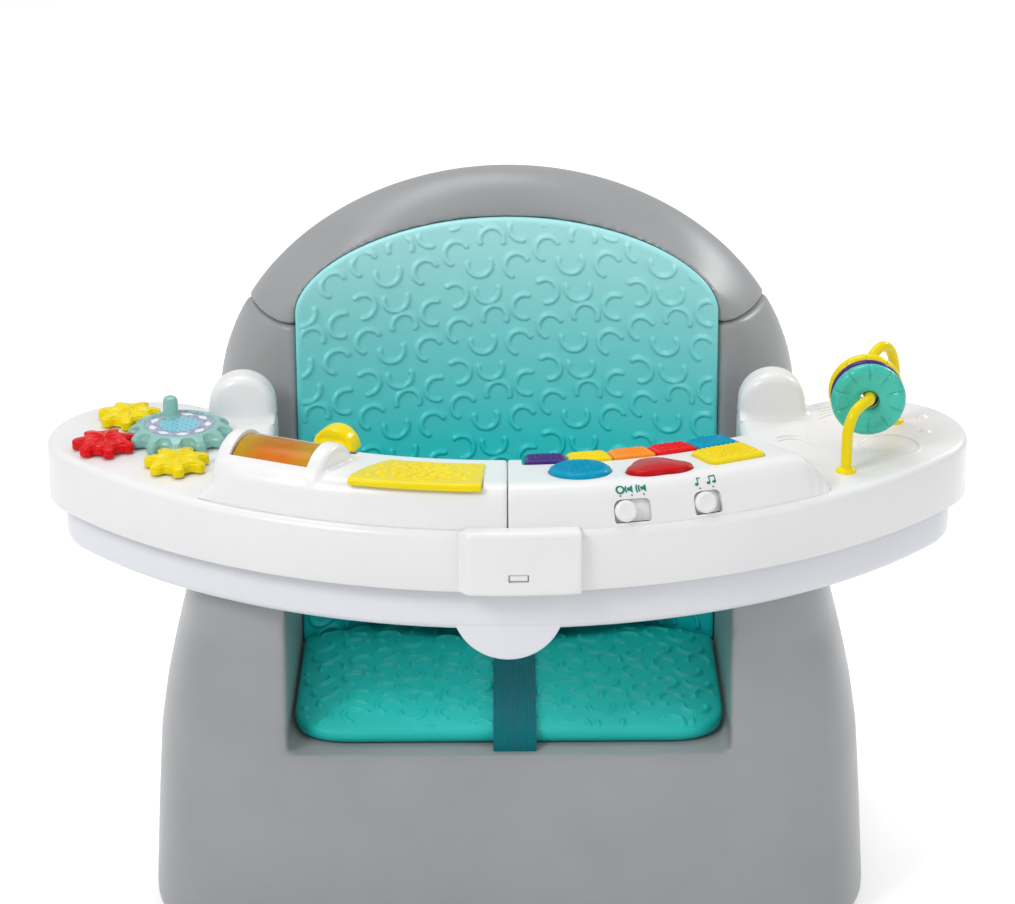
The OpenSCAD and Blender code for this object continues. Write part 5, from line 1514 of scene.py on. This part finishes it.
def make_floor():
    material, tree, shader = shader_of("floor")
    rays = add(tree, "LightPath", {})
    seen = calc(tree, "MAXIMUM", rays["Is Camera Ray"], rays["Is Transmission Ray"])
    seen = calc(tree, "MAXIMUM", seen, rays["Is Glossy Ray"])
    feed(tree, shader, {
        "Base Color": ramp(tree, noise(tree, 3.0), (0.86, 0.86, 0.86), (0.88, 0.88, 0.88)),
        "Roughness": 0.9, "Specular IOR Level": 0.1, "Emission Color": (1, 1, 1, 1),
        "Emission Strength": calc(tree, "MULTIPLY", seen, FLOOR_LIFT)})
    mesh = bpy.data.meshes.new("floor")
    corners = [(-1, -1), (1, -1), (1, 1), (-1, 1)]
    mesh.from_pydata([(x * FLOOR_SIZE, y * FLOOR_SIZE, 0) for x, y in corners], [], [(0, 1, 2, 3)])
    mesh.materials.append(material)
    floor = new_object("floor", mesh)


def add_light(name, place, aim, size, power):
    data = bpy.data.lights.new(name, "AREA")
    data.shape = "DISK"
    data.size = size
    data.energy = power
    light = new_object(name, data)
    light.location = place
    light.rotation_euler = (Vector(aim) - Vector(place)).to_track_quat("-Z", "Y").to_euler()


def make_room():
    make_floor()
    world = bpy.data.worlds.new("studio")
    world.use_nodes = True
    background = world.node_tree.nodes["Background"]
    feed(world.node_tree, background, {"Color": (1, 1, 1, 1), "Strength": 0.56})
    bpy.context.scene.world = world
    add_light("key", (-1.3, -1.3, 1.8), (0, 0, 0.2), 0.9, 21)
    add_light("fill", (1.6, -1.2, 1.1), (0, 0, 0.2), 1.4, 6)
    add_light("top", (-0.3, 0.6, 2.0), (0, 0, 0.2), 1.0, 10)
    add_light("rim", (1.3, 1.1, 1.1), (0, 0.1, 0.3), 0.5, 7)


def make_camera():
    data = bpy.data.cameras.new("camera")
    data.lens = CAMERA_LENS
    data.sensor_width = 36
    camera = new_object("camera", data)
    rise = radians(CAMERA_RISE)
    away = Vector((0, -cos(rise), sin(rise))) * CAMERA_FAR
    camera.matrix_world = (Matrix.Translation(CAMERA_TARGET + away) @ turned(90 - CAMERA_RISE)
                           @ turned(CAMERA_ROLL, "Z"))
    bpy.context.scene.camera = camera


# ---------------------------------------------------------------- scene

make_camera()
make_room()
make_shell()
make_back_pad()
make_seat_pad()
make_harness()
make_snack_tray()
make_toy_tray()
make_left_console()
make_right_console()
make_latch()
make_crank_gear()
make_small_gear("red_gear", 199.5, "red")
make_small_gear("front_yellow_gear", 273, "yellow")
make_small_gear("rear_yellow_gear", 137.6, "yellow")
make_drum()
make_thumb()
make_flap()
make_keypad()
make_switch("volume_switch", VOLUME)
make_switch("tune_switch", TUNE)
make_marks()
make_beads()
paint_nodes()

bpy.context.scene.view_settings.view_transform = "Standard"
